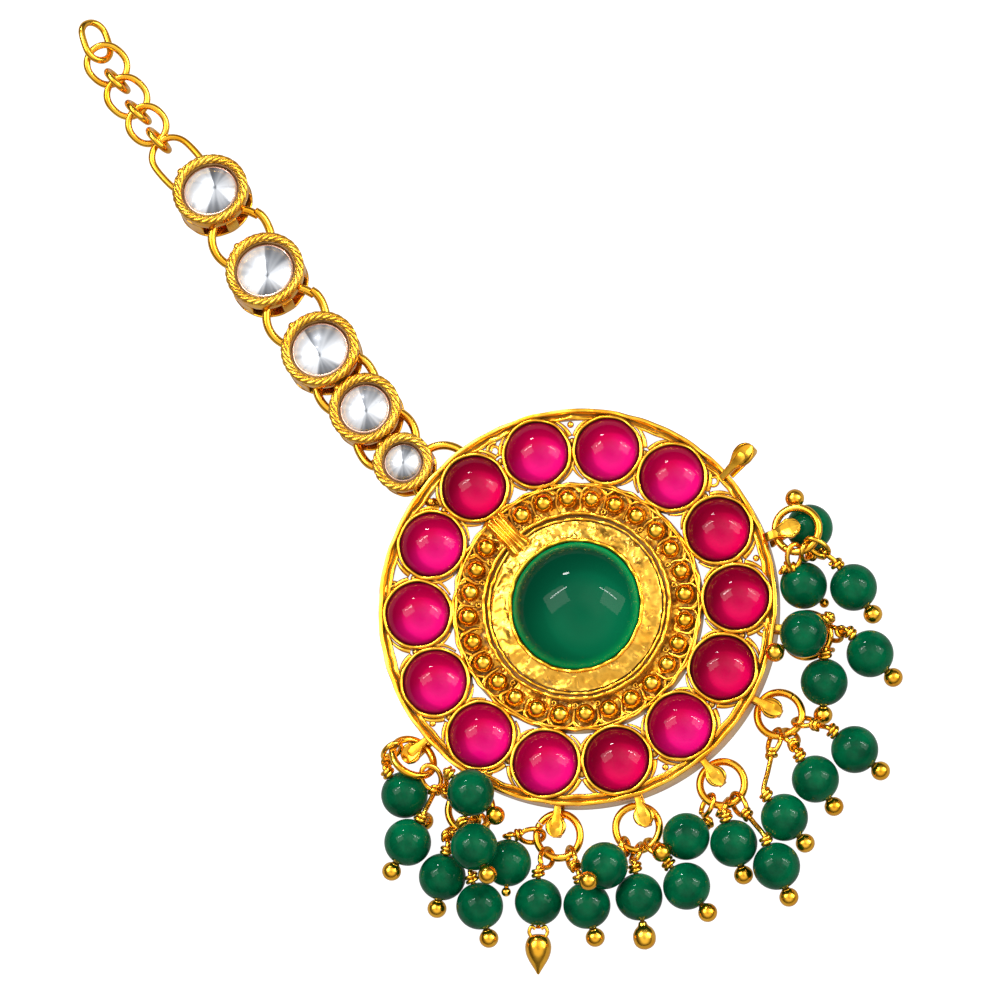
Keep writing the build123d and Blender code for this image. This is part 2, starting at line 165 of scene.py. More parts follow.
# ------------------------------------------------------------------ finishes
class Finish:
    """A finish: makes its Blender material once and hands it out."""

    made: dict[str, bpy.types.Material] = {}

    def material(self) -> bpy.types.Material:
        """Return the material, making it at the first call."""
        if self.name not in Finish.made:
            material = bpy.data.materials.new(self.name)
            material.use_nodes = True
            material.node_tree.nodes.clear()
            self.dress(material.node_tree)
            Finish.made[self.name] = material
        return Finish.made[self.name]

    def dress(self, tree: Tree) -> None:
        """Fill the material's node tree."""
        raise NotImplementedError


@dataclass(frozen=True)
class GoldPlate(Finish):
    """Antique gold plating on brass: cast, tumbled and hand burnished.

    The burnished tops throw clean warm lights. Crevices, which an ambient occlusion node finds, keep a brown
    that is partly patina and partly painted shade. So do the places that the mesh marks as "recess", where it
    is painted shade, and in the hollows partly patina
    too: there the gold takes on that brown and is rougher and less metallic.
    """

    name: str
    bright: str = "#FFC542"
    deep: str = "#E69C1E"
    # Brown of the crevices and recess marks: partly patina, partly painted shade.
    patina_and_shade: str = "#452305"
    roughness: float = 0.17
    roughness_spread: float = 0.10
    cloud_mm: float = 2.4
    grain_mm: float = 0.35
    relief_mm: float = 0.02
    relief_strength: float = 0.35
    crevice_mm: float = 0.45
    crevice_open: float = 0.75
    crevice_shut: float = 0.2
    patina_and_shade_share: float = 0.85
    patina_and_shade_roughness: float = 0.25
    patina_and_shade_metal_loss: float = 0.8

    def dress(self, tree: Tree) -> None:
        """Fill the material's node tree."""
        place = add_node(tree, "ShaderNodeTexCoord").outputs["Object"]
        tone = ramp(tree, clouds(tree, place, self.cloud_mm, 3.0), [(0.3, self.deep), (0.7, self.bright)])
        fine = clouds(tree, place, self.grain_mm, 4.0)
        # Painted shade, partly patina: an ambient occlusion node darkens the crevices.
        sky = add_node(tree, "ShaderNodeAmbientOcclusion", {"samples": 4}, {"Distance": self.crevice_mm * MM})
        shut = spread(tree, sky.outputs["AO"], self.crevice_open, self.crevice_shut)
        hollow = calc(tree, "MAXIMUM", recess_mark(tree), shut)
        half = self.roughness_spread / 2
        polish = spread(tree, fine, 0.3, 0.7, (self.roughness - half, self.roughness + half))
        feeds = {"Height": fine, "Strength": self.relief_strength, "Distance": self.relief_mm * MM}
        bump = add_node(tree, "ShaderNodeBump", feeds=feeds).outputs[0]
        # Painted shade, partly patina: the crevices and recess marks take the brown.
        shaded_and_stained = calc(tree, "MULTIPLY", hollow, self.patina_and_shade_share)
        feeds = {
            "Base Color": mix(tree, shaded_and_stained, tone, linear(self.patina_and_shade)),
            "Metallic": calc(tree, "MULTIPLY_ADD", hollow, -self.patina_and_shade_metal_loss, 1.0),
            "Roughness": calc(tree, "MULTIPLY_ADD", hollow, self.patina_and_shade_roughness, polish),
            "Normal": bump,
        }
        surface(tree, feeds)


@dataclass(frozen=True)
class CabochonGlass(Finish):
    """Pressed coloured glass on foil: a polished dome that glows on one side and darkens at its girdle.

    The glow is painted light: it stands for light that comes in from the strand's side and gathers opposite,
    towards -Y. Painted bands stand for the crescent of light that the curved back throws round a point below
    the middle. The girdle tone is painted shade on the red stones and a painted glow on the green one. Places
    are in shares of the stone's radius.
    """

    name: str
    radius_mm: float
    girdle: str
    body: str
    glow: str
    glow_from: float = -0.35
    glow_to: float = 0.75
    glow_way: tuple[float, float, float] = (-0.2, -0.98, 0)
    glow_unevenness: float = 0.5
    streak_mm: float = 2.5
    lens: float = 1.0
    lens_middle: tuple[float, float, float] = (0.05, -0.28, 0)
    lens_unevenness: float = 0.16
    lens_bands: tuple[tuple[float, str], ...] = (
        (0.0, "#DCDCDC"),
        (0.34, "#EAEAEA"),
        (0.5, "#FFFFFF"),
        (0.68, "#FFFFFF"),
        (0.76, "#D8D8D8"),
        (1.0, "#C0C0C0"),
    )
    girdle_from: float = 0.86
    gloss: float = 0.11
    ior: float = 1.52
    roughness: float = 0.03

    def dress(self, tree: Tree) -> None:
        """Fill the material's node tree."""
        place = add_node(tree, "ShaderNodeTexCoord").outputs["Object"]
        size = 1 / (self.radius_mm * MM)
        flat = vector_calc(tree, "MULTIPLY", place, (size, size, 0))
        cloud = clouds(tree, place, self.streak_mm, 2.0)
        uneven = calc(tree, "MULTIPLY_ADD", cloud, self.glow_unevenness, -self.glow_unevenness / 2)
        lit = calc(tree, "ADD", vector_calc(tree, "DOT_PRODUCT", flat, self.glow_way), uneven)
        # Painted glow, brighter towards -Y and uneven by the clouds.
        glow = spread(tree, lit, self.glow_from, self.glow_to, ease="SMOOTHSTEP")
        inner = mix(tree, glow, linear(self.body), linear(self.glow))
        # Painted light: bands of the crescent round a point below the middle.
        reach = vector_calc(tree, "LENGTH", vector_calc(tree, "SUBTRACT", flat, self.lens_middle))
        bands = ramp(tree, calc(tree, "MULTIPLY_ADD", cloud, self.lens_unevenness, reach), self.lens_bands)
        inner = mix(tree, self.lens, inner, bands, "MULTIPLY")
        # Painted edge tone at the girdle: shade on the red stones, a glow on the green one.
        edge = spread(tree, vector_calc(tree, "LENGTH", flat), self.girdle_from, 1.0, ease="SMOOTHSTEP")
        feeds = {
            "Base Color": mix(tree, edge, inner, linear(self.girdle)),
            "Roughness": self.roughness,
            "IOR": self.ior,
            "Specular IOR Level": self.gloss,
        }
        surface(tree, feeds)


@dataclass(frozen=True)
class BeadGlass(Finish):
    """Dyed jade-green glass bead, tumbled to a gloss, with a faint clouding inside."""

    name: str = "jade_glass_bead"
    light: str = "#00683F"
    dark: str = "#004429"
    cloud_mm: float = 2.2

    def dress(self, tree: Tree) -> None:
        """Fill the material's node tree."""
        place = add_node(tree, "ShaderNodeTexCoord").outputs["Object"]
        cloud = clouds(tree, place, self.cloud_mm, 3.0)
        feeds = {
            "Base Color": ramp(tree, cloud, [(0.3, self.dark), (0.7, self.light)]),
            "Roughness": 0.04,
            "IOR": 1.5,
            "Specular IOR Level": 0.09,
            "Subsurface Weight": 0.15,
            "Subsurface Radius": (0.2, 1.0, 0.6),
            "Subsurface Scale": 0.6 * MM,
        }
        surface(tree, feeds)


@dataclass(frozen=True)
class FoiledGlass(Finish):
    """Clear glass on pressed silver foil, under a wet gloss: white, with grey wedges that the mesh marks,
    which are painted light and shade of the foil's facets.
    """

    name: str = "foiled_glass_polished"
    bright: str = "#D6D9DE"
    middle: str = "#787C83"
    dark: str = "#16181C"

    def dress(self, tree: Tree) -> None:
        """Fill the material's node tree."""
        # Painted light and shade of the foil's facets: bright, middle and dark by the mesh's mark.
        stops = [(0.0, self.bright), (0.5, self.middle), (1.0, self.dark)]
        feeds = {
            "Base Color": ramp(tree, recess_mark(tree), stops),
            "Metallic": 0.35,
            "Roughness": 0.35,
            "Coat Weight": 1.0,
            "Coat Roughness": 0.03,
        }
        surface(tree, feeds)


@dataclass(frozen=True)
class CopperEdge(Finish):
    """Pale copper at the glass's edge, where the foil turns up and the gold shows through."""

    name: str = "copper_foil_edge"
    pale: str = "#D9B49C"
    copper: str = "#8A5A40"

    def dress(self, tree: Tree) -> None:
        """Fill the material's node tree."""
        colour = mix(tree, recess_mark(tree), linear(self.pale), linear(self.copper))
        surface(tree, {"Base Color": colour, "Metallic": 0.5, "Roughness": 0.25, "Coat Weight": 0.6})


@dataclass(frozen=True)
class TableTop(Finish):
    """Matt white board: white to the eye and through glass, dimmer in the gold's reflections."""

    name: str = "matt_white_board"
    glow: float = 0.985
    glossy_glow: float = 0.34
    paper: str = "#8C8C8C"
    mirrored: str = "#7C7C7C"

    def dress(self, tree: Tree) -> None:
        """Fill the material's node tree."""
        path = add_node(tree, "ShaderNodeLightPath").outputs
        seen = calc(tree, "MAXIMUM", path["Is Camera Ray"], path["Is Transmission Ray"])
        straight = calc(tree, "MULTIPLY", seen, self.glow)
        power = calc(tree, "MULTIPLY_ADD", path["Is Glossy Ray"], self.glossy_glow, straight)
        paper = mix(tree, path["Is Glossy Ray"], linear(self.paper), linear(self.mirrored))
        board = add_node(tree, "ShaderNodeBsdfDiffuse", feeds={"Color": paper})
        light = add_node(tree, "ShaderNodeEmission", feeds={"Strength": power})
        both = add_node(tree, "ShaderNodeAddShader", feeds={0: board.outputs[0], 1: light.outputs[0]})
        add_node(tree, "ShaderNodeOutputMaterial", feeds={"Surface": both.outputs[0]})


# Drawn wire: smooth and even, with long clean lights.
GOLD_WIRE = GoldPlate(
    "gold_plate_drawn_wire",
    roughness=0.2,
    roughness_spread=0.04,
    relief_mm=0.002,
    cloud_mm=3.0,
    crevice_mm=0.3,
)
# Twisted rope of the rims: fine wire, brown in its grooves with painted shade, partly patina.
GOLD_ROPE = GoldPlate(
    "gold_plate_twisted_rope", roughness=0.22, roughness_spread=0.04, relief_mm=0.001, crevice_mm=0.4
)
# Burnished granules: the sharpest lights of all the gold.
GOLD_BALL = GoldPlate(
    "gold_plate_burnished_ball", roughness=0.16, roughness_spread=0.04, relief_mm=0.002, crevice_mm=0.1
)
# Cast metal: a soft grain, and wide brown crevices of painted shade, partly patina.
GOLD_CAST = GoldPlate("gold_plate_cast", roughness=0.20, relief_mm=0.008, grain_mm=0.6, crevice_mm=0.65)
# Hammered band: paler, and duller where the punch has worked it, with painted shade, partly patina, in its
# creases.
GOLD_HAMMERED = GoldPlate(
    "gold_plate_hammered",
    bright="#EAB548",
    deep="#D6962C",
    roughness=0.24,
    roughness_spread=0.12,
    relief_mm=0.012,
    grain_mm=0.8,
)
# Hot pink stones, deeper red ones, and the dark green centre stone, which pales at its girdle. Each has a
# painted glow on one side and painted light bands; the girdle tone is painted shade on the red stones and a
# painted pale glow on the green one.
RUBY_HOT = CabochonGlass("ruby_glass_hot", 3.34, girdle="#6C0020", body="#C00044", glow="#FF0A86")
RUBY_DEEP = CabochonGlass("ruby_glass_deep", 3.34, girdle="#560018", body="#9C002E", glow="#F0005A")
EMERALD = CabochonGlass(
    "emerald_glass",
    6.68,
    girdle="#009A54",
    body="#01442D",
    glow="#03724A",
    glow_from=-0.9,
    glow_to=1.1,
    streak_mm=5.0,
    lens=0.45,
    gloss=0.07,
)
JADE = BeadGlass()
FOILED = FoiledGlass()
COPPER = CopperEdge()
BOARD = TableTop()


class Slot(Enum):
    """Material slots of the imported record."""

    GOLD = "gold_plate"
    RUBY = "ruby_glass"
    EMERALD = "green_glass"
    FOILED = "foiled_glass"
    BEAD = "green_bead"


# ------------------------------------------------------------------ shapes
def polar(radius: float, deg: float, z: float = 0.0) -> Array:
    """Point in millimetres at a radius and an angle round the medallion's axis."""
    return np.array([radius * math.cos(math.radians(deg)), radius * math.sin(math.radians(deg)), z])


def direction(deg: float, rise: float = 0.0) -> Array:
    """Unit vector with an azimuth and a rise above the table, in degrees."""
    a, b = math.radians(deg), math.radians(rise)
    return np.array([math.cos(a) * math.cos(b), math.sin(a) * math.cos(b), math.sin(b)])


def unit(vector: Array) -> Array:
    """Vector at length one."""
    return vector / np.linalg.norm(vector)


def unit_rows(rows: Array) -> Array:
    """Every row at length one."""
    return rows / np.linalg.norm(rows, axis=1)[:, None]


def full_turn(steps: int) -> Array:
    """Even angles once round, in radians."""
    return np.linspace(0, TURN, steps, endpoint=False)


def spun(deg: float, axis: str) -> Matrix:
    """Matrix of a turn about one axis."""
    return Matrix.Rotation(math.radians(deg), 4, axis)


def fade(value: Array, start: float, width: float) -> Array:
    """Share from 0 before a start to 1 past a width."""
    return np.clip((value - start) / width, 0, 1)


def hill(value: Array, middle: float, width: float) -> Array:
    """Soft hill of height one round a middle."""
    return np.exp(-(((value - middle) / width) ** 2))


def circle(radius: Array | float, turn: Array, z: Array) -> Array:
    """Points at a radius, an angle in radians and a height."""
    return np.stack([radius * np.cos(turn), radius * np.sin(turn), z], -1)


def loop(middle: Array, turn: Array, radius: Array | float, side: Array, up: Array) -> Array:
    """Points of a loop, or of a spiral, in the plane of two directions."""
    return middle + np.outer(radius * np.cos(turn), side) + np.outer(radius * np.sin(turn), up)


def ripple(angle: Array, seed: int, waves: Sequence[int]) -> Array:
    """Smooth uneven wave that closes on itself round a turn.

    Args:
        angle: angles in radians.
        seed: picks the wave's phases.
        waves: how many waves each part of it makes in a turn.

    Returns:
        Heights between about -1 and 1.
    """
    phases = np.random.default_rng(seed).uniform(0, TURN, len(waves))
    total = sum(np.sin(n * angle + p) for n, p in zip(waves, phases))
    return total / math.sqrt(len(waves))


def smooth_path(points: Sequence[Spot], steps: int) -> Array:
    """Run an open Catmull-Rom curve through points.

    Args:
        points: points in millimetres.
        steps: samples between two points.

    Returns:
        Samples along the curve.
    """
    p = np.array(points, float)
    last = len(p) - 1
    out = []
    for k in range(last):
        a, b, c, d = (p[min(max(k + j, 0), last)] for j in (-1, 0, 1, 2))
        for t in np.linspace(0, 1, steps, endpoint=False):
            bent = 2 * b + (c - a) * t + (2 * a - 5 * b + 4 * c - d) * t**2 + (3 * b - 3 * c + d - a) * t**3
            out.append(0.5 * bent)
    out.append(p[-1])
    return np.array(out)


def rounded(corners: Outline, radius: float, closed: bool = True) -> Outline:
    """Round the corners of an outline, each with five points.

    Args:
        corners: outline corners.
        radius: how far from each corner its rounding starts.
        closed: True for a closed outline.

    Returns:
        The rounded outline.
    """
    p = [np.array(c, float) for c in corners]
    out = []
    for k, here in enumerate(p):
        if not closed and k in (0, len(p) - 1):
            out.append(tuple(here))
            continue
        back, on = p[k - 1] - here, p[(k + 1) % len(p)] - here
        a, c = (here + unit(way) * min(radius, 0.45 * np.linalg.norm(way)) for way in (back, on))
        for t in np.linspace(0, 1, 5):
            out.append(tuple((1 - t) ** 2 * a + 2 * t * (1 - t) * here + t**2 * c))
    return out


def swept(spine: Array, width: Array, thick: Array | float, outward: Array, section: Outline) -> Array:
    """Points of a strip run along a spine in the XZ plane.

    Args:
        spine: points of the spine.
        width: half width at each point.
        thick: thickness, or one for each point.
        outward: outward direction at each point.
        section: closed section, as share of the half width and of the thickness.

    Returns:
        Rows of points, one row for each point of the spine.
    """
    side, depth = np.array(section).T
    across = np.outer(width, side)[..., None] * np.array([0, 1.0, 0])
    deep = np.outer(np.broadcast_to(thick, width.shape), depth)[..., None] * outward[:, None, :]
    return spine[:, None, :] + across + deep


def relief(steps: int, shares: Array, shape: Callable[[float, float], Spot]) -> tuple[Array, Array]:
    """Sheet round the axis, worked out place by place.

    Args:
        steps: how many rows go round.
        shares: what tells its columns apart.
        shape: radius, height and recess mark of a place, given its angle and share.

    Returns:
        Points of the sheet and their recess marks.
    """
    rows = []
    for a in full_turn(steps):
        places = [shape(a, share) for share in shares]
        rows.append([(r * math.cos(a), r * math.sin(a), z, mark) for r, z, mark in places])
    sheet = np.array(rows)
    return sheet[..., :3], sheet[..., 3]


def add_object(name: str, data: bpy.types.ID) -> bpy.types.Object:
    """Put a mesh, light or camera into the scene."""
    thing = bpy.data.objects.new(name, data)
    bpy.context.scene.collection.objects.link(thing)
    return thing


@dataclass
class Form:
    """Mesh under construction, in millimetres, with a recess mark for each point, which carries painted shade
    and painted light.
    """

    points: list[Array] = field(default_factory=list)
    faces: list[tuple[int, ...]] = field(default_factory=list)
    marks: list[Array] = field(default_factory=list)
    count: int = 0

    def put(self, points: Array, faces: Sequence[tuple[int, ...]], marks: Array | float = 0.0) -> None:
        """Add points and the faces between them."""
        base, rows = self.count, points.reshape(-1, 3)
        self.count += len(rows)
        self.points.append(rows)
        self.marks.append(np.broadcast_to(np.asarray(marks, float).reshape(-1), len(rows)))
        self.faces.extend(tuple(base + i for i in f) for f in faces)

    def grid(
        self, points: Array, wrap_u: bool, wrap_v: bool, marks: Array | float = 0.0, caps: bool = False
    ) -> None:
        """Add a sheet of quads.

        Args:
            points: array of rows, columns and coordinates.
            wrap_u: True to join the last row to the first.
            wrap_v: True to join the last column to the first.
            marks: recess marks of the points.
            caps: True to close the first and the last row with a face each.
        """
        rows, cols = points.shape[:2]
        faces = []
        for u in range(rows if wrap_u else rows - 1):
            here, after = u * cols, (u + 1) % rows * cols
            for v in range(cols if wrap_v else cols - 1):
                w = (v + 1) % cols
                faces.append((here + v, after + v, after + w, here + w))
        if caps:
            faces.append(tuple(range(cols)))
            faces.append(tuple((rows - 1) * cols + k for k in range(cols - 1, -1, -1)))
        self.put(points, faces, marks)

    def lathe(
        self,
        outline: Outline,
        steps: int,
        centre: Spot = (0, 0, 0),
        closed: bool = True,
        wobble: Wobble | None = None,
        recess: Marking | None = None,
    ) -> None:
        """Turn an outline of radius and height round a vertical axis.

        Args:
            outline: radius and height of each point.
            steps: how many copies go round.
            centre: the axis and base height.
            closed: True where the outline is closed.
            wobble: moves radius and height, given angle, radius and height.
            recess: gives the recess mark, from angle, radius and height.
        """
        angle = full_turn(steps)[:, None]
        r, z = (np.repeat(np.array(outline, float)[None, :, k], steps, 0) for k in (0, 1))
        marks = recess(angle, r, z) if recess else 0.0
        if wobble:
            r, z = wobble(angle, r, z)
        self.grid(circle(r, angle, z) + np.array(centre), True, closed, marks)

    def tube(
        self, path: Array, radius: Array | float, sides: int = 12, closed: bool = False, marks: float = 0.0
    ) -> None:
        """Sweep a round wire along a path.

        Args:
            path: points along the wire.
            radius: wire radius, or one for each point.
            sides: points round the wire.
            closed: True for a closed loop.
            marks: recess mark.
        """
        count = len(path)
        size = np.broadcast_to(np.asarray(radius, float), (count,))
        along = np.roll(path, -1, 0) - np.roll(path, 1, 0) if closed else np.gradient(path, axis=0)
        tangents = unit_rows(along)
        guess = np.array([0, 0, 1.0]) if abs(tangents[0][2]) < 0.9 else np.array([1.0, 0, 0])
        side = unit(np.cross(tangents[0], guess))
        carried = []
        for t in tangents:
            side = unit(side - t * side.dot(t))
            carried.append(side)
        across = np.array(carried)
        lift = np.cross(tangents, across)
        twist = 0.0
        if closed:
            # Spread the twist that is left where the loop closes.
            last = unit(across[-1] - tangents[0] * across[-1].dot(tangents[0]))
            twist = math.atan2(last.dot(lift[0]), last.dot(across[0]))
        turn = full_turn(sides)[None, :] - np.linspace(0, twist, count)[:, None]
        ring = (np.cos(turn) * size[:, None])[..., None] * across[:, None, :]
        points = path[:, None, :] + ring + (np.sin(turn) * size[:, None])[..., None] * lift[:, None, :]
        self.grid(points, closed, True, marks, caps=not closed)

    def ball(self, centre: Spot, radius: float, steps: int = 24, stretch: Spot = (1, 1, 1)) -> None:
        """Add a ball.

        Args:
            centre: its middle.
            radius: its radius.
            steps: points round it.
            stretch: scale along X, Y and Z.
        """
        lat = np.linspace(-math.pi / 2, math.pi / 2, steps // 2 + 1)[1:-1, None]
        lon = full_turn(steps)
        body = np.stack([np.cos(lat) * np.cos(lon), np.cos(lat) * np.sin(lon), np.sin(lat) + 0 * lon], -1)
        scale = np.array(stretch) * radius
        start = self.count
        self.grid(body * scale + np.array(centre), False, True)
        base, top = self.count, self.count + 1
        self.put(np.array([[0, 0, -1.0], [0, 0, 1.0]]) * scale + np.array(centre), [])
        last = start + (len(lat) - 1) * steps
        for k in range(steps):
            self.faces.append((base, start + (k + 1) % steps, start + k))
            self.faces.append((top, last + k, last + (k + 1) % steps))

    def arc(self, section: Outline, middle_deg: float, half_deg: float, steps: int) -> None:
        """Add a bent bar: a section of radius and height, turned through part of a circle.

        Args:
            section: radius and height of each point of the closed section.
            middle_deg: angle of the bar's middle.
            half_deg: how far it runs to each side.
            steps: copies of the section.
        """
        angles = np.radians(np.linspace(middle_deg - half_deg, middle_deg + half_deg, steps))
        bar = np.array([[(r * math.cos(a), r * math.sin(a), z) for r, z in section] for a in angles])
        self.grid(bar, False, True, caps=True)

    def moved(self, matrix: Matrix) -> "Form":
        """Copy of the form put through a matrix."""
        m = np.array(matrix)
        points = [p @ m[:3, :3].T + m[:3, 3] for p in self.points]
        return Form(points, list(self.faces), list(self.marks), self.count)

    def join(self, other: "Form") -> None:
        """Add another form's mesh to this one."""
        self.put(np.concatenate(other.points), other.faces, np.concatenate(other.marks))

    def piece(
        self, name: str, finish: Finish, slot: Slot, *stands_for: str, centre: Spot = (0, 0, 0)
    ) -> bpy.types.Object:
        """Make the Blender object of this form.

        Args:
            name: the piece's name.
            finish: what it is made of.
            slot: record slot; not used.
            stands_for: CAD nodes that it replaces.
            centre: where its own origin goes, in millimetres.

        Returns:
            The object, riding on the one rigid body.
        """
        origin = np.array(centre, float)
        mesh = bpy.data.meshes.new(name)
        mesh.from_pydata(((np.concatenate(self.points) - origin) * MM).tolist(), [], self.faces)
        # The recess mark carries painted shade on the gold and the foil's painted light and shade.
        level = mesh.attributes.new("recess", "FLOAT", "POINT")
        level.data.foreach_set("value", np.concatenate(self.marks).astype(np.float32))
        work = bmesh.new()
        work.from_mesh(mesh)
        bmesh.ops.recalc_face_normals(work, faces=work.faces)
        work.to_mesh(mesh)
        work.free()
        mesh.polygons.foreach_set("use_smooth", [True] * len(mesh.polygons))
        mesh.materials.append(finish.material())
        thing = add_object(name, mesh)
        thing.location = Vector(origin * MM)
        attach(thing, "root")
        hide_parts(*stands_for)
        LOG.info("%s: %d faces", name, len(mesh.polygons))
        return thing


def frame_on(point: Array, normal: Array, across: Array | None = None) -> Matrix:
    """Matrix that puts local Z along a normal.

    Args:
        point: where the local origin goes.
        normal: direction of local Z.
        across: direction that local X leans to.

    Returns:
        The matrix, in millimetres.
    """
    z = unit(np.array(normal, float))
    lean = np.array([1.0, 0, 0]) if across is None else np.array(across, float)
    if abs(unit(lean).dot(z)) > 0.95:
        lean = np.array([0, 1.0, 0])
    x = unit(lean - z * lean.dot(z))
    y = np.cross(z, x)
    return Matrix([*zip(x, y, z, point), (0, 0, 0, 1)])


# ------------------------------------------------------------------ medallion
@dataclass
class Lug:
    """A cast bail on the rim and the jump ring in it; ring_radius 0 leaves it bare."""

    deg: float
    lift: float
    ring_deg: float
    ring_radius: float
    ring_z: float
    ring_tilt: float

    @property
    def raised(self) -> bool:
        """True for the lug that is bent up over the bead below it."""
        return self.lift > 50


@dataclass
class Medallion:
    """Soldered gold of the medallion, in millimetres: rim, bezels, tray, hammered band, bridge and lugs."""

    rim_radius: float = 20.95
    rim_wall: float = 0.65
    rim_height: float = 3.6
    rim_groove: float = 20.3
    stone_count: int = 14
    stone_circle: float = 16.75
    cup_outer: float = 3.76
    cup_inner: float = 3.40
    cup_bottom: float = 1.65
    cup_seat: float = 2.15
    cup_lip: float = 3.75
    tray_outer: float = 13.2
    tray_inner: float = 9.6
    tray_wall: float = 0.36
    tray_bottom: float = 1.9
    tray_floor: float = 2.4
    granule_places: int = 28
    granule_circle: float = 11.4
    granule_radius: float = 0.97
    bridge_deg: float = 93.0
    band_outer: float = 8.9
    band_height: float = 3.9
    band_fall: float = 0.42
    step_height: float = 3.05
    centre_outer: float = 7.16
    centre_inner: float = 6.74
    lug_reach: float = 3.25
    bare_lug_reach: float = 4.2
    lug_half_height: float = 1.45
    lug_wall: float = 0.42
    lug_mid: float = 1.75
    petal_radius: float = 1.08
    web_gap: float = 0.14
    web_height: float = 2.95
    outer_nubs: float = 17.55
    inner_nubs: float = 15.65
    rim_nubs: float = 19.35
    scroll_height: float = 3.1
    scrolls: tuple[tuple[float, float, int], ...] = (
        (77.3, 18.9, 1),
        (133.0, 19.5, -1),
        (1.7, 19.4, 1),
        (-48.0, 19.6, -1),
        (-160.0, 19.5, 1),
    )
    bridge_run: Outline = (
        (13.3, 3.0),
        (13.1, 3.6),
        (12.2, 3.95),
        (11.0, 4.15),
        (9.9, 4.3),
        (9.0, 4.2),
        (8.4, 3.9),
        (8.1, 3.5),
    )
    lugs: tuple[Lug, ...] = (
        Lug(-179.5, 0, -178, 23.2, 3.45, 44),
        Lug(-159, 0, -159, 23.85, 1.25, 0),
        Lug(-135.8, 0, -135.5, 23.85, 1.25, 0),
        Lug(-112.8, 0, -115.5, 23.85, 1.25, 0),
        Lug(-91.5, 0, -91.5, 23.85, 1.25, 0),
        Lug(-68.8, 0, -69, 23.85, 1.25, 0),
        Lug(-47.5, 0, -48, 24.1, 1.25, 0),
        Lug(-22.5, 58, -23, 24.35, 5.15, 8),
        Lug(0.7, 25, 0, 0, 0, 0),
    )

    def stone_degrees(self) -> list[float]:
        """Angles of the red stones, the first on the strand's axis."""
        return [90 - k * 360 / self.stone_count for k in range(self.stone_count)]

    def granule_degrees(self) -> list[float]:
        """Angles of the granules; the bridge takes the first place."""
        return [self.bridge_deg + k * 360 / self.granule_places for k in range(1, self.granule_places)]

    def build(self) -> None:
        """Build every piece of the medallion."""
        self.rim()
        self.bezels()
        self.webs()
        self.tray()
        self.granules()
        self.bed()
        self.filigree()
        self.band()
        self.bridge()
        for number, spec in enumerate(self.lugs, 1):
            self.lug(number, spec)

    def solder(self, form: Form, name: str, finish: Finish = GOLD_CAST) -> None:
        """Make a piece that stands for the CAD's one soldered frame."""
        form.piece(name, finish, Slot.GOLD, "medallion_frame")

    def ledge(self, angle: Array) -> Array:
        """Smallest radius of the rim's inner ledge at each angle, just outside the stone cups."""
        step = TURN / self.stone_count
        off = (angle - math.pi / 2 + step / 2) % step - step / 2
        across = self.stone_circle * np.sin(off)
        cup = np.sqrt(np.clip((self.cup_outer + 0.02) ** 2 - across**2, 0, None))
        return np.clip(self.stone_circle * np.cos(off) + cup, 0, self.rim_radius - 0.5)

    def rim(self) -> None:
        """Outer band: a bright ridge, an uneven cast groove, and an inner ledge fitted round the stones."""
        outer, top, groove = self.rim_radius, self.rim_height, self.rim_groove
        wall = outer - self.rim_wall
        corners = [
            (wall, 0.0),
            (wall, 2.7),
            (19.78, 2.75),
            (19.72, 3.3),
            (19.9, 3.42),
            (20.15, 3.3),
            (groove, 3.02),
            (20.42, 3.35),
            (20.58, top),
            (outer - 0.06, top - 0.03),
            (outer, top - 0.15),
            (outer, 0.0),
        ]

        def wobble(angle: Array, r: Array, z: Array) -> tuple[Array, Array]:
            high, outside = fade(z, 2.4, 0.9), fade(r, groove, 0.25)
            shift = 0.05 * ripple(angle, 3, (9, 17, 31, 43)) * outside
            shift = shift - 0.07 * ripple(angle, 5, (7, 19, 37, 58)) * (1 - outside)
            r = r + high * shift
            z = z + high * 0.04 * ripple(angle, 8, (6, 23, 41))
            z = z + high * hill(r, 20.22, 0.16) * 0.10 * ripple(angle, 9, (17, 29, 41, 67))
            inner = np.where(r < 20.5, np.maximum(r, np.minimum(self.ledge(angle), 20.45)), r)
            return np.minimum(np.where(z > 1.0, inner, r), outer), z

        # Painted shade, partly patina: the groove's floor is marked darker, unevenly.
        def recess(angle: Array, r: Array, z: Array) -> Array:
            dark = hill(r, groove, 0.07) * (z > 2.9)
            return np.clip(dark * (0.7 + 0.3 * ripple(angle, 4, (11, 27, 61))), 0, 1)

        form = Form()
        form.lathe(rounded(corners, 0.09), 500, wobble=wobble, recess=recess)
        self.solder(form, "medallion_rim")

    def bezels(self) -> None:
        """Thin collars rubbed over each red stone, each a little out of true."""
        form = Form()
        outer, inner, low, lip = self.cup_outer, self.cup_inner, self.cup_bottom, self.cup_lip
        corners = [
            (0.0, low),
            (outer - 0.04, low),
            (outer, lip - 0.5),
            (outer - 0.02, lip - 0.12),
            (outer - 0.16, lip),
            (inner + 0.03, lip - 0.02),
            (inner - 0.03, lip - 0.18),
            (inner, self.cup_seat),
            (0.0, self.cup_seat),
        ]
        outline = rounded(corners, 0.08, closed=False)

        # Painted shade: the inner wall is marked dark and the outer wall darker towards its foot.
        def recess(angle: Array, r: Array, z: Array) -> Array:
            return np.where(r < inner + 0.02, 0.7, np.clip((2.6 - z) * 0.3, 0, 0.4))

        for number, deg in enumerate(self.stone_degrees()):

            def wobble(angle: Array, r: Array, z: Array, seed: int = number) -> tuple[Array, Array]:
                high = fade(z, self.cup_seat, 1.2) * (r > inner - 0.1)
                aside = high * 0.035 * ripple(angle, 40 + seed, (2, 3, 5, 9))
                return r + aside, z + high * 0.05 * ripple(angle, 70 + seed, (2, 3, 7, 11))

            form.lathe(outline, 72, polar(self.stone_circle, deg), closed=False, wobble=wobble, recess=recess)
        self.solder(form, "stone_bezels")

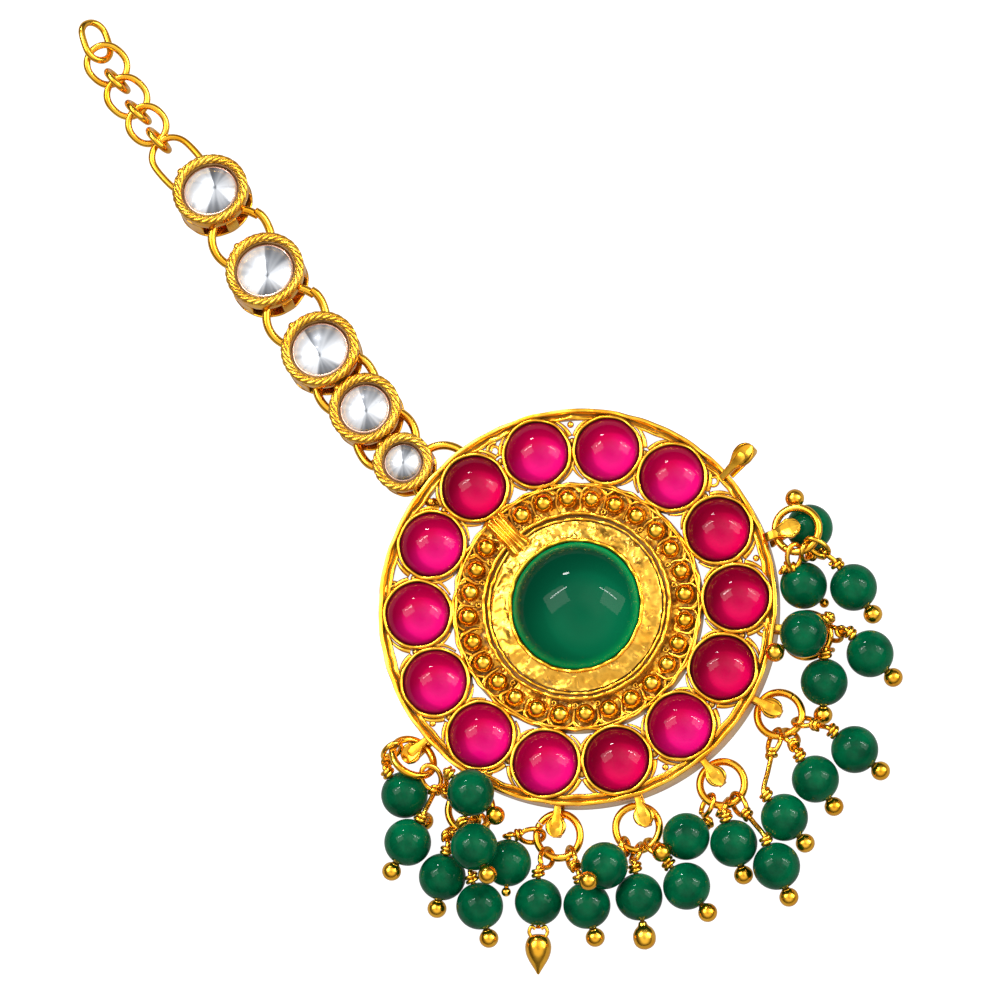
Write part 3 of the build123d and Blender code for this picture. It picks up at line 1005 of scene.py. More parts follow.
    def webs(self) -> None:
        """Cast gussets that hug the stone cups in a curved V, with nubs and small scrolls in the gaps."""
        form = Form()
        rng = np.random.default_rng(21)
        share = np.linspace(0, 1, 14)
        sag = np.linspace(0, math.pi, 14)
        hug = self.cup_outer + self.web_gap + 0.10 * np.sin(sag)
        for deg in self.stone_degrees():
            middle = polar(self.stone_circle, deg)
            for hand in (-1, 1):
                for low, high, sizes in ((34, 76, (0.10, 0.2, 0.30)), (98, 150, (0.26, 0.2, 0.10))):
                    turn = np.linspace(low + rng.uniform(-4, 4), high, 14)
                    spots = [polar(r, deg + hand * a, self.web_height) for a, r in zip(turn, hug)]
                    path = middle + np.array(spots)
                    path[:, 2] += 0.18 * np.sin(sag + rng.uniform(-0.5, 0.5))
                    form.tube(path, np.interp(share, [0, 0.5, 1], sizes), 10, marks=0.1)
        flat = (1, 1, 0.8)
        for k, deg in enumerate(self.stone_degrees()):
            between = deg - 180 / self.stone_count
            form.ball(polar(self.outer_nubs, between, 2.9), 0.42, 16, flat)
            form.ball(polar(self.inner_nubs, between, 2.8), 0.40, 16, flat)
            if k % 3 == 1:
                form.ball(polar(self.rim_nubs, between + rng.uniform(-2, 2), 3.0), 0.36, 14, flat)
        turns = np.linspace(0, 1.35 * TURN, 40)
        size = 0.25 + 0.62 * turns / turns[-1]
        for deg, radius, hand in self.scrolls:
            hub = polar(radius, deg, self.scroll_height)
            path = loop(hub, turns, size, direction(deg + 90) * hand, direction(deg))
            path[:, 2] += 0.25 * np.cos(turns * 0.5)
            form.tube(path, np.linspace(0.12, 0.26, 40), 10, marks=0.1)
        self.solder(form, "gap_scrolls")

    def tray(self) -> None:
        """Tray that holds the granules, and the core inside it."""
        form = Form()
        self.trough(form)
        self.core(form)
        self.solder(form, "granule_tray")

    def trough(self, form: Form) -> None:
        """Floor of the tray, with an uneven wall on each side."""
        inner, outer, low, floor = self.tray_inner, self.tray_outer, self.tray_bottom, self.tray_floor
        near, far = inner + self.tray_wall, outer - self.tray_wall

        def wavy(angle: Array, r: Array, z: Array) -> tuple[Array, Array]:
            high = fade(z, 2.3, 0.9)
            outside, inside = 0.13 * ripple(angle, 15, (8, 14, 28, 35)), 0.04 * ripple(angle, 16, (5, 13, 27))
            aside = high * np.where(r > 12.0, outside, inside)
            return r + aside, z + high * 0.07 * ripple(angle, 17, (9, 22, 45))

        # Painted shade: the tray's floor is marked dark and its low walls a little.
        def floor_mark(angle: Array, r: Array, z: Array) -> Array:
            return np.where((r > inner + 0.3) & (r < far + 0.02), 0.55, np.where(z < 3.0, 0.15, 0.0))

        corners = [
            (inner, low),
            (inner, 3.8),
            (inner + 0.1, 3.9),
            (inner + 0.28, 3.88),
            (near, 3.7),
            (near + 0.03, floor),
            (far - 0.05, floor),
            (far, 3.4),
            (far + 0.1, 3.55),
            (outer - 0.08, 3.52),
            (outer, 3.35),
            (outer, self.cup_bottom),
            (outer - 0.3, self.cup_bottom),
            (outer - 0.4, low),
        ]
        form.lathe(rounded(corners, 0.08), 300, wobble=wavy, recess=floor_mark)

    def core(self, form: Form) -> None:
        """Back plate, step and centre bezel in one turned shell."""
        edge, hole, step = self.centre_outer, self.centre_inner, self.step_height
        near = self.tray_inner + 0.1

        def lip(angle: Array, r: Array, z: Array) -> tuple[Array, Array]:
            high = fade(z, 3.5, 0.6)
            aside = high * 0.05 * ripple(angle, 25, (4, 7, 19))
            return r + aside, z + high * 0.06 * ripple(angle, 26, (3, 11, 29))

        # Painted shade: the low step and the centre bezel's inner wall are marked dark.
        def step_mark(angle: Array, r: Array, z: Array) -> Array:
            return np.where((z < 3.5) | (r < hole + 0.02), 0.75, 0.0)

        shell = [
            (0.0, 0.0),
            (edge, 0.0),
            (edge, 3.0),
            (8.9, 2.6),
            (near, 2.6),
            (near, step),
            (self.band_outer - 0.02, step),
            (self.band_outer - 0.3, 3.0),
            (edge - 0.05, 3.6),
            (edge, 4.05),
            (edge - 0.1, 4.2),
            (hole + 0.1, 4.2),
            (hole, 4.05),
            (hole, 0.6),
            (0.0, 0.6),
        ]
        form.lathe(rounded(shell, 0.07, closed=False), 260, closed=False, wobble=lip, recess=step_mark)

    def granules(self) -> None:
        """Balls soldered on the tray floor."""
        form = Form()
        rng = np.random.default_rng(5)
        for deg in self.granule_degrees():
            size = self.granule_radius * rng.uniform(0.98, 1.07)
            radius = self.granule_circle + rng.uniform(-0.08, 0.08)
            form.ball(polar(radius, deg + rng.uniform(-0.5, 0.5), self.tray_floor + size * 0.94), size, 28)
        self.solder(form, "granules", GOLD_BALL)

    def bed(self) -> None:
        """Rough cast floor of the tray, lumpy round the granules and rising to its outer wall."""
        inner, outer = self.tray_inner + self.tray_wall, self.tray_outer - self.tray_wall + 0.04

        def shape(a: float, r: float) -> Spot:
            spot = Vector((r * math.cos(a), r * math.sin(a), 5.0))
            lump = grain.noise(spot * 1.3) * 0.26 + grain.noise(spot * 3.2) * 0.13
            rise = 0.3 * max(0.0, (r - 11.9) / 0.9) ** 2
            # Painted shade, partly patina: the low spots between the lumps are marked darker.
            return r, self.tray_floor + 0.2 + lump + rise, min(1.0, max(0.0, -0.02 - lump) * 7)

        form = Form()
        points, marks = relief(640, np.linspace(inner, outer, 18), shape)
        form.grid(points, True, False, marks)
        self.solder(form, "tray_bed")

    def filigree(self) -> None:
        """Small leaves and scrolls that fill the tray round the granules, and a wire along each edge."""
        form = Form()
        rng = np.random.default_rng(12)
        z = self.tray_floor + 0.12
        curl = np.linspace(0, 1.1 * TURN, 22)
        swell = 0.10 + 0.22 * curl / curl[-1]
        leaf_size = np.interp(np.linspace(0, 1, 19), [0, 0.3, 0.7, 1], [0.10, 0.17, 0.26, 0.14])
        for deg in self.granule_degrees():
            mid = deg + 180 / self.granule_places
            bend = rng.uniform(-0.6, 0.6)
            vein = ((10.25, bend, 0.0), (11.2, -bend, 0.2), (12.1, bend * 2, 0.35), (12.7, 1.8, 0.5))
            leaf = [polar(r, mid + aside, z + up) for r, aside, up in vein]
            form.tube(smooth_path(leaf, 6), leaf_size * rng.uniform(0.85, 1.15), 8)
            for hand in (-1, 1):
                vein = ((12.15, 0.6, 0.4), (12.55, 2.4, 0.62), (12.8, 4.6 + rng.uniform(-0.8, 0.8), 0.7))
                wing = [polar(r, mid + hand * aside, z + up) for r, aside, up in vein]
                form.tube(smooth_path(wing, 5), np.linspace(0.2, 0.10, 11), 8)
            if rng.random() < 0.6:
                hub = polar(10.35, mid + rng.uniform(-0.8, 0.8), z + 0.35)
                hand = 1 if rng.random() < 0.5 else -1
                path = loop(hub, curl, swell, direction(deg), direction(deg + 90) * hand)
                form.tube(path, np.linspace(0.07, 0.12, 22), 7)
        turn = full_turn(300)
        for radius, height, wire in ((9.22, 3.38, 0.16), (12.78, 3.35, 0.13)):
            r = radius + 0.04 * ripple(turn, int(radius * 7), (6, 13, 29))
            lift = height + 0.04 * ripple(turn, int(radius * 11), (9, 23))
            size = wire * (1 + 0.25 * ripple(turn, 77, (19, 31, 47)))
            form.tube(circle(r, turn, lift), size, 10, closed=True)
        self.solder(form, "tray_filigree")

    def band(self) -> None:
        """Hammered band that slopes up to the centre stone, chipped and creased by the punch."""
        inner, outer = self.centre_outer - 0.08, self.band_outer + 0.12

        def shape(a: float, s: float) -> Spot:
            r = inner + s * (outer - self.centre_outer)
            spot = Vector((r * math.cos(a), r * math.sin(a), 0.0))
            dents = grain.noise(spot * 0.7) * 0.17 + grain.noise(spot * 1.8 + Vector((7, 3, 1))) * 0.055
            smooth = 1.0
            if grain.noise(spot * 0.9 + Vector((0, 0, 9))) > 0.05:
                smooth = min(1.0, abs(grain.noise(Vector((r * 1.6, a * 9.0, 3.7)))) / 0.07)
            edge = min(1.0, s / 0.12) * min(1.0, (1 - s) / 0.1)
            z = self.band_height - self.band_fall * s + (dents - 0.10 * (1 - smooth)) * edge
            if s > 0.93:
                r += 0.08 * grain.noise(spot * 2.3)
            # Painted shade, partly the punch's dull work marks: the creases are marked darker.
            return r, z, 0.75 * (1 - smooth) * edge

        form = Form()
        points, marks = relief(560, np.linspace(0, 1, 16), shape)
        form.grid(points, True, False, marks)
        foot = points[:, -1].copy()
        foot[:, 2] = self.step_height
        # Painted shade: the band's foot wall is marked nearly full dark.
        form.grid(np.stack([points[:, -1], foot], 1), True, False, 0.9)
        self.solder(form, "hammered_band", GOLD_HAMMERED)

    def bridge(self) -> None:
        """Pleated strip folded over the tray in line with the strand."""
        form = Form()
        spine = smooth_path([(x, 0, z) for x, z in self.bridge_run], 6)
        width = np.interp(np.linspace(0, 1, len(spine)), [0, 0.25, 0.55, 0.8, 1], [1.5, 1.15, 1.05, 1.3, 1.1])
        across = np.linspace(-1, 1, 41)
        pleat = 0.15 * np.cos(across * 3.0 * math.pi) - 0.25 * across**2
        side = np.outer(width, across)
        top = spine[:, None, :] + np.stack([0 * side, side, pleat + 0 * side], -1)
        low = top[:, ::-1].copy()
        low[..., 2] = np.minimum(low[..., 2] - 0.35, self.tray_floor + 0.2)
        # Painted shade: the pleats' valleys are marked a little dark and the underside dark.
        marks = np.concatenate([(pleat < -0.05) * 0.3 + 0 * side, np.full(side.shape, 0.7)], 1)
        form.grid(np.concatenate([top, low], 1), False, True, marks)
        self.solder(form.moved(spun(self.bridge_deg, "Z")), "pleated_bridge")

    def lug(self, number: int, spec: Lug) -> None:
        """Pear-shaped bail: a strip bent into an eye, under a dished petal.

        Args:
            number: which lug, from the strand's left round the foot.
            spec: where it stands.
        """
        reach = self.lug_reach if spec.ring_radius else self.bare_lug_reach
        lift = self.lug_mid + (self.rim_height - self.rim_wall - self.lug_mid) * min(1.0, spec.lift / 50)
        turn = spun(spec.deg, "Z")
        place = turn @ Matrix.Translation((self.rim_radius, 0, lift)) @ spun(-spec.lift, "Y")
        level = turn @ Matrix.Translation((self.rim_radius, 0, self.lug_mid))
        whole = self.lug_eye(spec, reach).moved(place)
        whole.join(self.petal(spec, reach).moved(level if spec.raised else place))
        self.solder(whole, f"lug_{number}")

    def lug_eye(self, spec: Lug, reach: float) -> Form:
        """Strip of a lug, its X outward, bent back under itself into the eye that holds the jump ring."""
        half, wall = self.lug_half_height, self.lug_wall
        nose, mid = reach - half, half - wall / 2
        high = mid - 0.08
        run = [(-0.35, mid - 0.1), (0.4, high), (nose * 0.66, high)]
        run += [(nose + (mid - 0.06) * math.sin(a), high * math.cos(a)) for a in np.linspace(0.0, math.pi, 9)]
        run += [(nose * 0.66, -mid), (0.4, -mid), (-0.35, -mid)]
        if spec.raised:
            # Its strip rises from below, with no upper run to the rim.
            run = run[3:-1] + [(-1.5, -mid)]
        spine = smooth_path([(x, 0, z) for x, z in run], 5)
        tangents = unit_rows(np.gradient(spine, axis=0))
        outward = np.stack([-tangents[:, 2], 0 * tangents[:, 2], tangents[:, 0]], -1)
        width = np.interp(spine[:, 0], [0, nose, reach], [0.36, 0.5, 0.45])
        strip = rounded([(-1, -0.5), (1, -0.5), (1, 0.5), (-1, 0.5)], 0.3)
        form = Form()
        form.grid(swept(spine, width, wall, outward, strip), False, True, caps=True)
        return form

    def petal(self, spec: Lug, reach: float) -> Form:
        """Petal over a lug's eye: a narrow neck, then a round end with a raised edge about a flat dish."""
        bulb, wall = self.petal_radius, self.lug_wall
        widest = reach - bulb
        end = widest + bulb * np.sin(np.linspace(0.12, math.pi / 2, 12))
        along = np.concatenate([np.linspace(-0.3, widest, 14), end])
        swell = fade(along / widest, 0.30, 0.62)
        tip = bulb * np.sqrt(np.clip(1 - ((along - widest) / 1.09) ** 2, 0.0004, 1))
        width = np.where(along > widest, tip, 0.36 + (bulb - 0.36) * swell**2 * (3 - 2 * swell))
        height = self.lug_half_height - wall / 2 + 0.02 - 0.22 * fade(along, widest, bulb) ** 2
        if spec.raised:
            # This petal is longer, starts above the rim's top and lies level.
            along = along * 1.2
            swell = fade(along, 0, 1.2 * widest)
            width = np.where(along > 1.2 * widest, tip, 0.22 + (bulb - 0.22) * swell**1.3)
            places, rise = [-0.4, 0.0, 0.5, 1.1, 1.9, 2.8, 4.2], [3.7, 4.0, 4.9, 5.65, 6.05, 6.15, 6.0]
            height = np.interp(along, places, rise) - self.lug_mid
        if not spec.ring_radius:
            along = along * 1.09
        dish = [(-1, -0.5), (1, -0.5), (1, 0.2), (0.82, 0.5), (0.62, 0.15), (0, -0.05)]
        dish += [(-0.62, 0.15), (-0.82, 0.5), (-1, 0.2)]
        up = np.tile([0.0, 0.0, 1.0], (len(along), 1))
        thick = wall * np.clip(width / 0.5, 0.1, 1)
        spine = np.stack([along, 0 * along, height], -1)
        form = Form()
        form.grid(swept(spine, width, thick, up, rounded(dish, 0.1)), False, True, caps=True)
        return form


# ------------------------------------------------------------------ stones
def dome(radius: float, bottom: float, side_top: float, rise: float, steps: int) -> Form:
    """Form of a domed stone, its axis on Z.

    Args:
        radius: girdle radius.
        bottom: height of its flat foot.
        side_top: height where the dome starts.
        rise: height of the dome.
        steps: points round it.

    Returns:
        The stone's form.
    """
    ball = (radius**2 + rise**2) / (2 * rise)
    middle = side_top + rise - ball
    arc = np.linspace(math.asin(radius / ball), 0, 26)
    outline = [(0.0, bottom), (radius, bottom), (radius, side_top - 0.05)]
    outline += [(ball * math.sin(a), middle + ball * math.cos(a)) for a in arc]
    form = Form()
    form.lathe(outline, steps, closed=False)
    return form


@dataclass
class Cabochons:
    """Domed stones of the medallion, in millimetres."""

    medallion: Medallion
    stone_radius: float = 3.34
    stone_bottom: float = 2.2
    stone_side_top: float = 3.45
    stone_dome: float = 1.9
    centre_radius: float = 6.68
    centre_bottom: float = 0.65
    centre_side_top: float = 3.9
    centre_dome: float = 3.6
    hot: tuple[int, ...] = (2, 3, 4, 8, 10, 11, 12, 13, 14)

    def build(self) -> None:
        """Build the red stones and the green centre stone."""
        for number, deg in enumerate(self.medallion.stone_degrees(), 1):
            place = polar(self.medallion.stone_circle, deg)
            form = dome(self.stone_radius, self.stone_bottom, self.stone_side_top, self.stone_dome, 72)
            finish = RUBY_HOT if number in self.hot else RUBY_DEEP
            moved = form.moved(Matrix.Translation(Vector(place)))
            moved.piece(f"ruby_{number:02d}", finish, Slot.RUBY, f"red_stone_{number:02d}", centre=place)
        form = dome(self.centre_radius, self.centre_bottom, self.centre_side_top, self.centre_dome, 128)
        form.piece("emerald_centre", EMERALD, Slot.EMERALD, "center_stone")


# ------------------------------------------------------------------ strand
@dataclass
class Setting:
    """A kundan setting: its plate's centre, its rope rim's radius, its lean and the ways to its posts."""

    x: float
    y: float
    radius: float
    lean: float
    top_deg: float
    foot_deg: float


@dataclass
class Strand:
    """Five kundan settings and the rings that join them, in millimetres."""

    rope_half_width: float = 0.5
    rope_half_height: float = 0.45
    rope_z: float = 3.6
    rope_lobes: int = 5
    rope_ridges_per_mm: float = 1.3
    rope_groove: float = 0.42
    plate: float = 0.3
    cup_bottom: float = 1.9
    seat: float = 2.2
    lip: float = 3.4
    post_width: float = 1.3
    wall_half_deg: float = 33.0
    edge_inset: float = 0.12
    bore_inset: float = 1.2
    stone_inset: float = 1.18
    stone_top: float = 4.05
    stone_girdle: float = 3.1
    lean_towards: float = 48.0
    ring_radius: float = 3.15
    ring_wire: float = 0.46
    ring_bite: float = 0.6
    settings: tuple[Setting, ...] = (
        Setting(-0.97, 59.64, 4.10, 12, 92, -96),
        Setting(-2.10, 49.03, 4.25, 11, 84, -95),
        Setting(-3.03, 38.68, 4.20, 7.5, 85, -93),
        Setting(-3.42, 30.78, 3.85, 4.5, 88, -94),
        Setting(-3.92, 23.90, 3.20, 0, 86, -70),
    )
    ring_shifts: tuple[float, ...] = (0.0, 0.0, -0.05, 0.22)
    ring_cuts: tuple[float, ...] = (108.0, 104.0, 110.0, 290.0)
    foil_points: Outline = ((-40, 0.22), (-107, 0.34), (-125, 0.30), (-100, 0.2), (-90, 0.1))
    last_ring: tuple[float, float, float] = (-1.6, 20.65, 1.0)
    last_cut: float = 205.0

    def build(self) -> None:
        """Build the settings, their stones and the rings."""
        for number, spec in enumerate(self.settings, 1):
            self.cup(number, spec)
            self.rope(number, spec)
            self.stone(number, spec)
        pairs = zip(self.settings, self.settings[1:], self.ring_shifts, self.ring_cuts)
        for number, (upper, lower, shift, cut) in enumerate(pairs, 1):
            self.ring(number, self.between(upper, lower, shift), cut)
        self.ring(len(self.settings), Matrix.Translation(self.last_ring), self.last_cut)

    def seated(self, spec: Setting) -> Matrix:
        """Matrix of a setting: it leans, with the low edge of its plate on the table."""
        lean = spun(self.lean_towards, "Z") @ spun(spec.lean, "Y") @ spun(-self.lean_towards, "Z")
        rise = spec.radius * math.sin(math.radians(spec.lean))
        return Matrix.Translation((spec.x, spec.y, rise)) @ lean

    def between(self, upper: Setting, lower: Setting, shift: float) -> Matrix:
        """Matrix of the ring that joins two settings through the slots under their cups.

        Args:
            upper: setting nearer the free end.
            lower: setting nearer the medallion.
            shift: how far the ring sits from the middle, towards the upper setting.

        Returns:
            The ring's matrix; its X runs from the upper setting to the lower one.
        """
        way = Vector((lower.x - upper.x, lower.y - upper.y, 0))
        depth = way.length / 2 - self.ring_radius + self.ring_bite
        way.normalize()
        slot = Vector((0, 0, (self.plate + self.cup_bottom) / 2))
        above, below = self.seated(upper), self.seated(lower)
        start = above @ (way * (depth - shift) + slot)
        run = below @ (-way * (depth + shift) + slot) - start
        facing = above.to_3x3() @ Vector((0, 0, 1)) + below.to_3x3() @ Vector((0, 0, 1))
        normal = run.cross(facing.cross(run))
        return frame_on(np.array(start + run / 2), np.array(normal), np.array(run))

    def cup(self, number: int, spec: Setting) -> None:
        """Cup on a base plate, with a strap at each end for the joining rings and a wall at each side."""
        edge, stone = spec.radius - self.edge_inset, spec.radius - self.bore_inset
        form = Form()

        def wobble(angle: Array, r: Array, z: Array) -> tuple[Array, Array]:
            return r + 0.03 * ripple(angle, 90 + number, (3, 7, 13)) * (r > 1), z

        # Painted shade: a dark ring on the seat and the lip's inner wall, between the rope and the stone.
        def gap(angle: Array, r: Array, z: Array) -> Array:
            return np.where((r < stone + 0.3) & (z > self.seat - 0.1), 1.0, 0.0)

        plate = [
            (0.0, 0.0),
            (edge - 0.05, 0.0),
            (edge, 0.1),
            (edge, self.plate - 0.06),
            (edge - 0.08, self.plate),
            (0.0, self.plate),
        ]
        form.lathe(rounded(plate, 0.05, closed=False), 72, closed=False, wobble=wobble)
        cup = [
            (0.0, self.cup_bottom),
            (edge - 0.35, self.cup_bottom),
            (edge - 0.1, self.cup_bottom + 0.18),
            (edge - 0.06, self.cup_bottom + 0.7),
            (edge - 0.12, self.lip),
            (stone + 0.12, self.lip),
            (stone + 0.05, self.lip - 0.2),
            (stone + 0.05, self.seat),
            (0.0, self.seat),
        ]
        form.lathe(rounded(cup, 0.07, closed=False), 72, closed=False, wobble=wobble, recess=gap)
        back, front, waist = edge - 0.55, edge - 0.06, edge - 0.1
        strap = rounded([(back, 0.1), (edge, 0.1), (edge + 0.02, 1.0), (edge, 2.2), (back, 2.2)], 0.12)
        for deg in (spec.top_deg, spec.foot_deg):
            form.arc(strap, deg, math.degrees(self.post_width / 2 / edge), 9)
        back = edge - 0.4
        wall = rounded([(back, 0.15), (front, 0.15), (waist, 1.2), (front, 2.2), (back, 2.2)], 0.1)
        for deg in (spec.top_deg + 90, spec.top_deg - 90):
            form.arc(wall, deg, self.wall_half_deg, 25)
        bump = polar(edge - 0.05, spec.top_deg + 14, self.rope_z - 0.05)
        form.ball(bump, 0.42, 14, (1, 1, 0.9))
        cup_form = form.moved(self.seated(spec))
        cup_form.piece(f"kundan_cup_{number}", GOLD_CAST, Slot.GOLD, f"kundan_setting_{number}")

    def rope(self, number: int, spec: Setting) -> None:
        """Rope rim: thick strands that slant over it, with deep grooves between."""
        path = spec.radius - self.rope_half_width
        ridges = round(TURN * path * self.rope_ridges_per_mm)
        theta, phi = full_turn(560)[:, None], full_turn(22)[None, :]
        swing = 0.35 * ripple(theta, number, (5, 9, 16))
        wave = np.abs(np.sin((ridges * theta - self.rope_lobes * phi + swing) / 2)) ** 0.7
        depth = self.rope_groove * (1 - wave)
        r = path + self.rope_half_width * (1 - depth) * np.cos(phi)
        z = self.rope_z + self.rope_half_height * (1 - depth) * np.sin(phi)
        form = Form()
        # Painted shade, partly patina: the grooves between the strands are marked dark.
        form.grid(circle(r, theta, z), True, True, np.clip((depth - 0.13) * 6, 0, 1))
        rope_form = form.moved(self.seated(spec))
        rope_form.piece(f"rope_rim_{number}", GOLD_ROPE, Slot.GOLD, f"kundan_setting_{number}")

    def stone(self, number: int, spec: Setting) -> None:
        """Glass dome on foil: painted light and shade of the foil's facets, in wedges of white and grey round
        a dark point off centre, and a pale copper edge.
        """
        radius = spec.radius - self.stone_inset
        point_deg, point_share = self.foil_points[number - 1]
        tip = polar(point_share * radius, point_deg)[:2]
        top, girdle = self.stone_top, self.stone_girdle
        rise = top - girdle
        ball = (radius**2 + rise**2) / (2 * rise)
        around, deep = 160, 20
        angle = full_turn(around)[:, None]
        share = np.linspace(0.01, 1, deep)[None, :]
        edge = np.stack([np.cos(angle), np.sin(angle)], -1) * radius
        flat = tip + (edge - tip) * share[..., None]
        out = np.linalg.norm(flat, axis=-1)
        height = top - ball + np.sqrt(ball**2 - np.minimum(out, ball) ** 2)
        points = np.concatenate([flat, height[..., None]], -1)
        way = np.degrees(np.arctan2(flat[..., 1] - tip[1], flat[..., 0] - tip[0]))
        # Painted light and shade of the foil's facets, turned a little for each stone, with uneven streaks.
        marks = self.foil_facet_shading((way + 11 * (number % 3 - 1) + 180) % 360 - 180, share)
        marks = marks + 0.16 * ripple(np.radians(way), 900 + number, (3, 7, 12, 19)) * np.clip(share, 0.2, 1)
        form = Form()
        form.grid(points, True, False, marks)
        # Painted shade: the foil's point is fully dark.
        form.put(np.array([[*tip, height[0, 0]]]), [], 1.0)
        form.faces.extend((form.count - 1, k * deep, (k + 1) % around * deep) for k in range(around))
        name, place = f"kundan_stone_{number}", self.seated(spec)
        form.moved(place).piece(f"foiled_glass_{number}", FOILED, Slot.FOILED, name)

        def copper(angle: Array, r: Array, z: Array) -> Array:
            return np.clip(0.5 + 0.6 * np.cos(angle - math.radians(35)), 0, 1) + 0 * r

        rim = radius + 0.03
        collar = [(radius - 0.24, girdle + 0.13), (radius - 0.1, girdle + 0.16)]
        collar += [(rim, girdle + 0.06), (rim, 2.3)]
        ring = Form()
        ring.lathe(rounded(collar, 0.06, closed=False), 96, closed=False, recess=copper)
        ring.moved(place).piece(f"foil_edge_{number}", COPPER, Slot.FOILED, name)

    def foil_facet_shading(self, way: Array, share: Array) -> Array:
        """Painted light and shade of the foil's facets, as greyness: 0 is white and 1 nearly black.

        Args:
            way: direction from the foil's point, in degrees from -180 to 180.
            share: how far out from the point to the edge, 0 to 1.

        Returns:
            The tone of each place.
        """
        degrees = [-180, -152, -148, -120, -100, -78, -60, -24, 6, 30, 52, 69, 71, 120, 150, 180]
        inner = [0.0, 0.0, 0.15, 0.30, 0.20, 0.02, 0.0, 0.0, 0.10, 0.28, 0.42, 0.60, 0.0, 0.0, 0.0, 0.0]
        outer = [0.04, 0.15, 0.72, 0.78, 0.66, 0.42, 0.08, 0.0, 0.14, 0.36, 0.50, 0.62, 0.0, 0.0, 0.0, 0.04]
        near, far = np.interp(way, degrees, inner), np.interp(way, degrees, outer)
        tone = near + (far - near) * np.clip(share, 0, 1) ** 1.6
        # Painted shade: the foil darkens close round its point.
        return np.clip(tone + 0.8 * np.clip(1 - share / 0.09, 0, 1), 0, 1)

    def ring(self, number: int, place: Matrix, cut: float) -> None:
        """Round joining ring, sawn through and closed again with its ends a little past each other."""
        start = math.radians(cut)
        turn = np.linspace(start + 0.02, start + TURN + 0.22, 120)
        share = np.linspace(0, 1, 120)
        r = self.ring_radius + np.interp(share, [0, 0.1, 0.9, 1], [-0.16, 0, 0, 0.20])
        rise = np.interp(share, [0, 0.1, 0.9, 1], [-0.1, 0, 0, 0.22])
        wire = self.ring_wire * np.interp(share, [0, 0.03, 0.97, 1], [0.8, 1, 1, 0.8])
        form = Form()
        form.tube(circle(r, turn, rise), wire, 16)
        form.moved(place).piece(f"joining_loop_{number}", GOLD_WIRE, Slot.GOLD, f"joining_ring_{number}")


# ------------------------------------------------------------------ chain
@dataclass
class Link:
    """A chain link: centre, outer length and width, then yaw, pitch and roll of its long axis."""

    x: float
    y: float
    z: float
    length: float
    width: float
    yaw: float
    pitch: float
    roll: float


@dataclass
class TopChain:
    """Eight drawn-wire links up to the free end, in millimetres."""

    wire: float = 0.37
    links: tuple[Link, ...] = (
        Link(0.65, 81.9, 2.15, 5.2, 3.9, 68, 0, 46),
        Link(-0.1, 79.21, 1.75, 5.2, 4.7, 96, 13, 0),
        Link(-0.42, 77.02, 1.87, 3.7, 3.7, 92, 0, 80),
        Link(-0.72, 75.0, 1.75, 5.2, 4.7, 96, 13, 0),
        Link(-0.9, 72.8, 1.86, 3.7, 3.7, 94, 0, 80),
        Link(-1.05, 71.1, 1.75, 4.9, 4.6, 94, 13, 0),
        Link(-1.2, 68.9, 1.87, 3.7, 3.7, 90, 0, 80),
        Link(-1.25, 65.40, 1.83, 7.2, 5.2, 91, 4.7, 8),
    )

    def build(self) -> None:
        """Build the links as one piece."""
        form = Form()
        turn = full_turn(96)
        for number, spec in enumerate(self.links):
            bend, straight = spec.width / 2 - self.wire, (spec.length - spec.width) / 2
            path = circle(bend, turn, 0 * turn)
            path[:, 0] += straight * np.tanh(4 * np.cos(turn))
            link = Form()
            link.tube(path, self.wire * (1 + 0.03 * ripple(turn, 200 + number, (3, 5))), 16, closed=True)
            lie = spun(spec.yaw, "Z") @ spun(-spec.pitch, "Y") @ spun(spec.roll, "X")
            form.join(link.moved(Matrix.Translation((spec.x, spec.y, spec.z)) @ lie))
        form.piece("chain_links", GOLD_WIRE, Slot.GOLD, "top_chain")


# ------------------------------------------------------------------ drops
class PinEnd(Enum):
    """Ends of the head pins."""

    BALL = "ball"
    SMALL = "small"
    BELL = "bell"
    TEARDROP = "teardrop"


@dataclass
class Drop:
    """A bead on a head pin: its ring, its centre, where its pin points, its end, and where its eye sits."""

    ring: int
    x: float
    y: float
    z: float
    pin_deg: float
    pin_rise: float
    end: PinEnd = PinEnd.BALL
    eye_deg: float | None = None


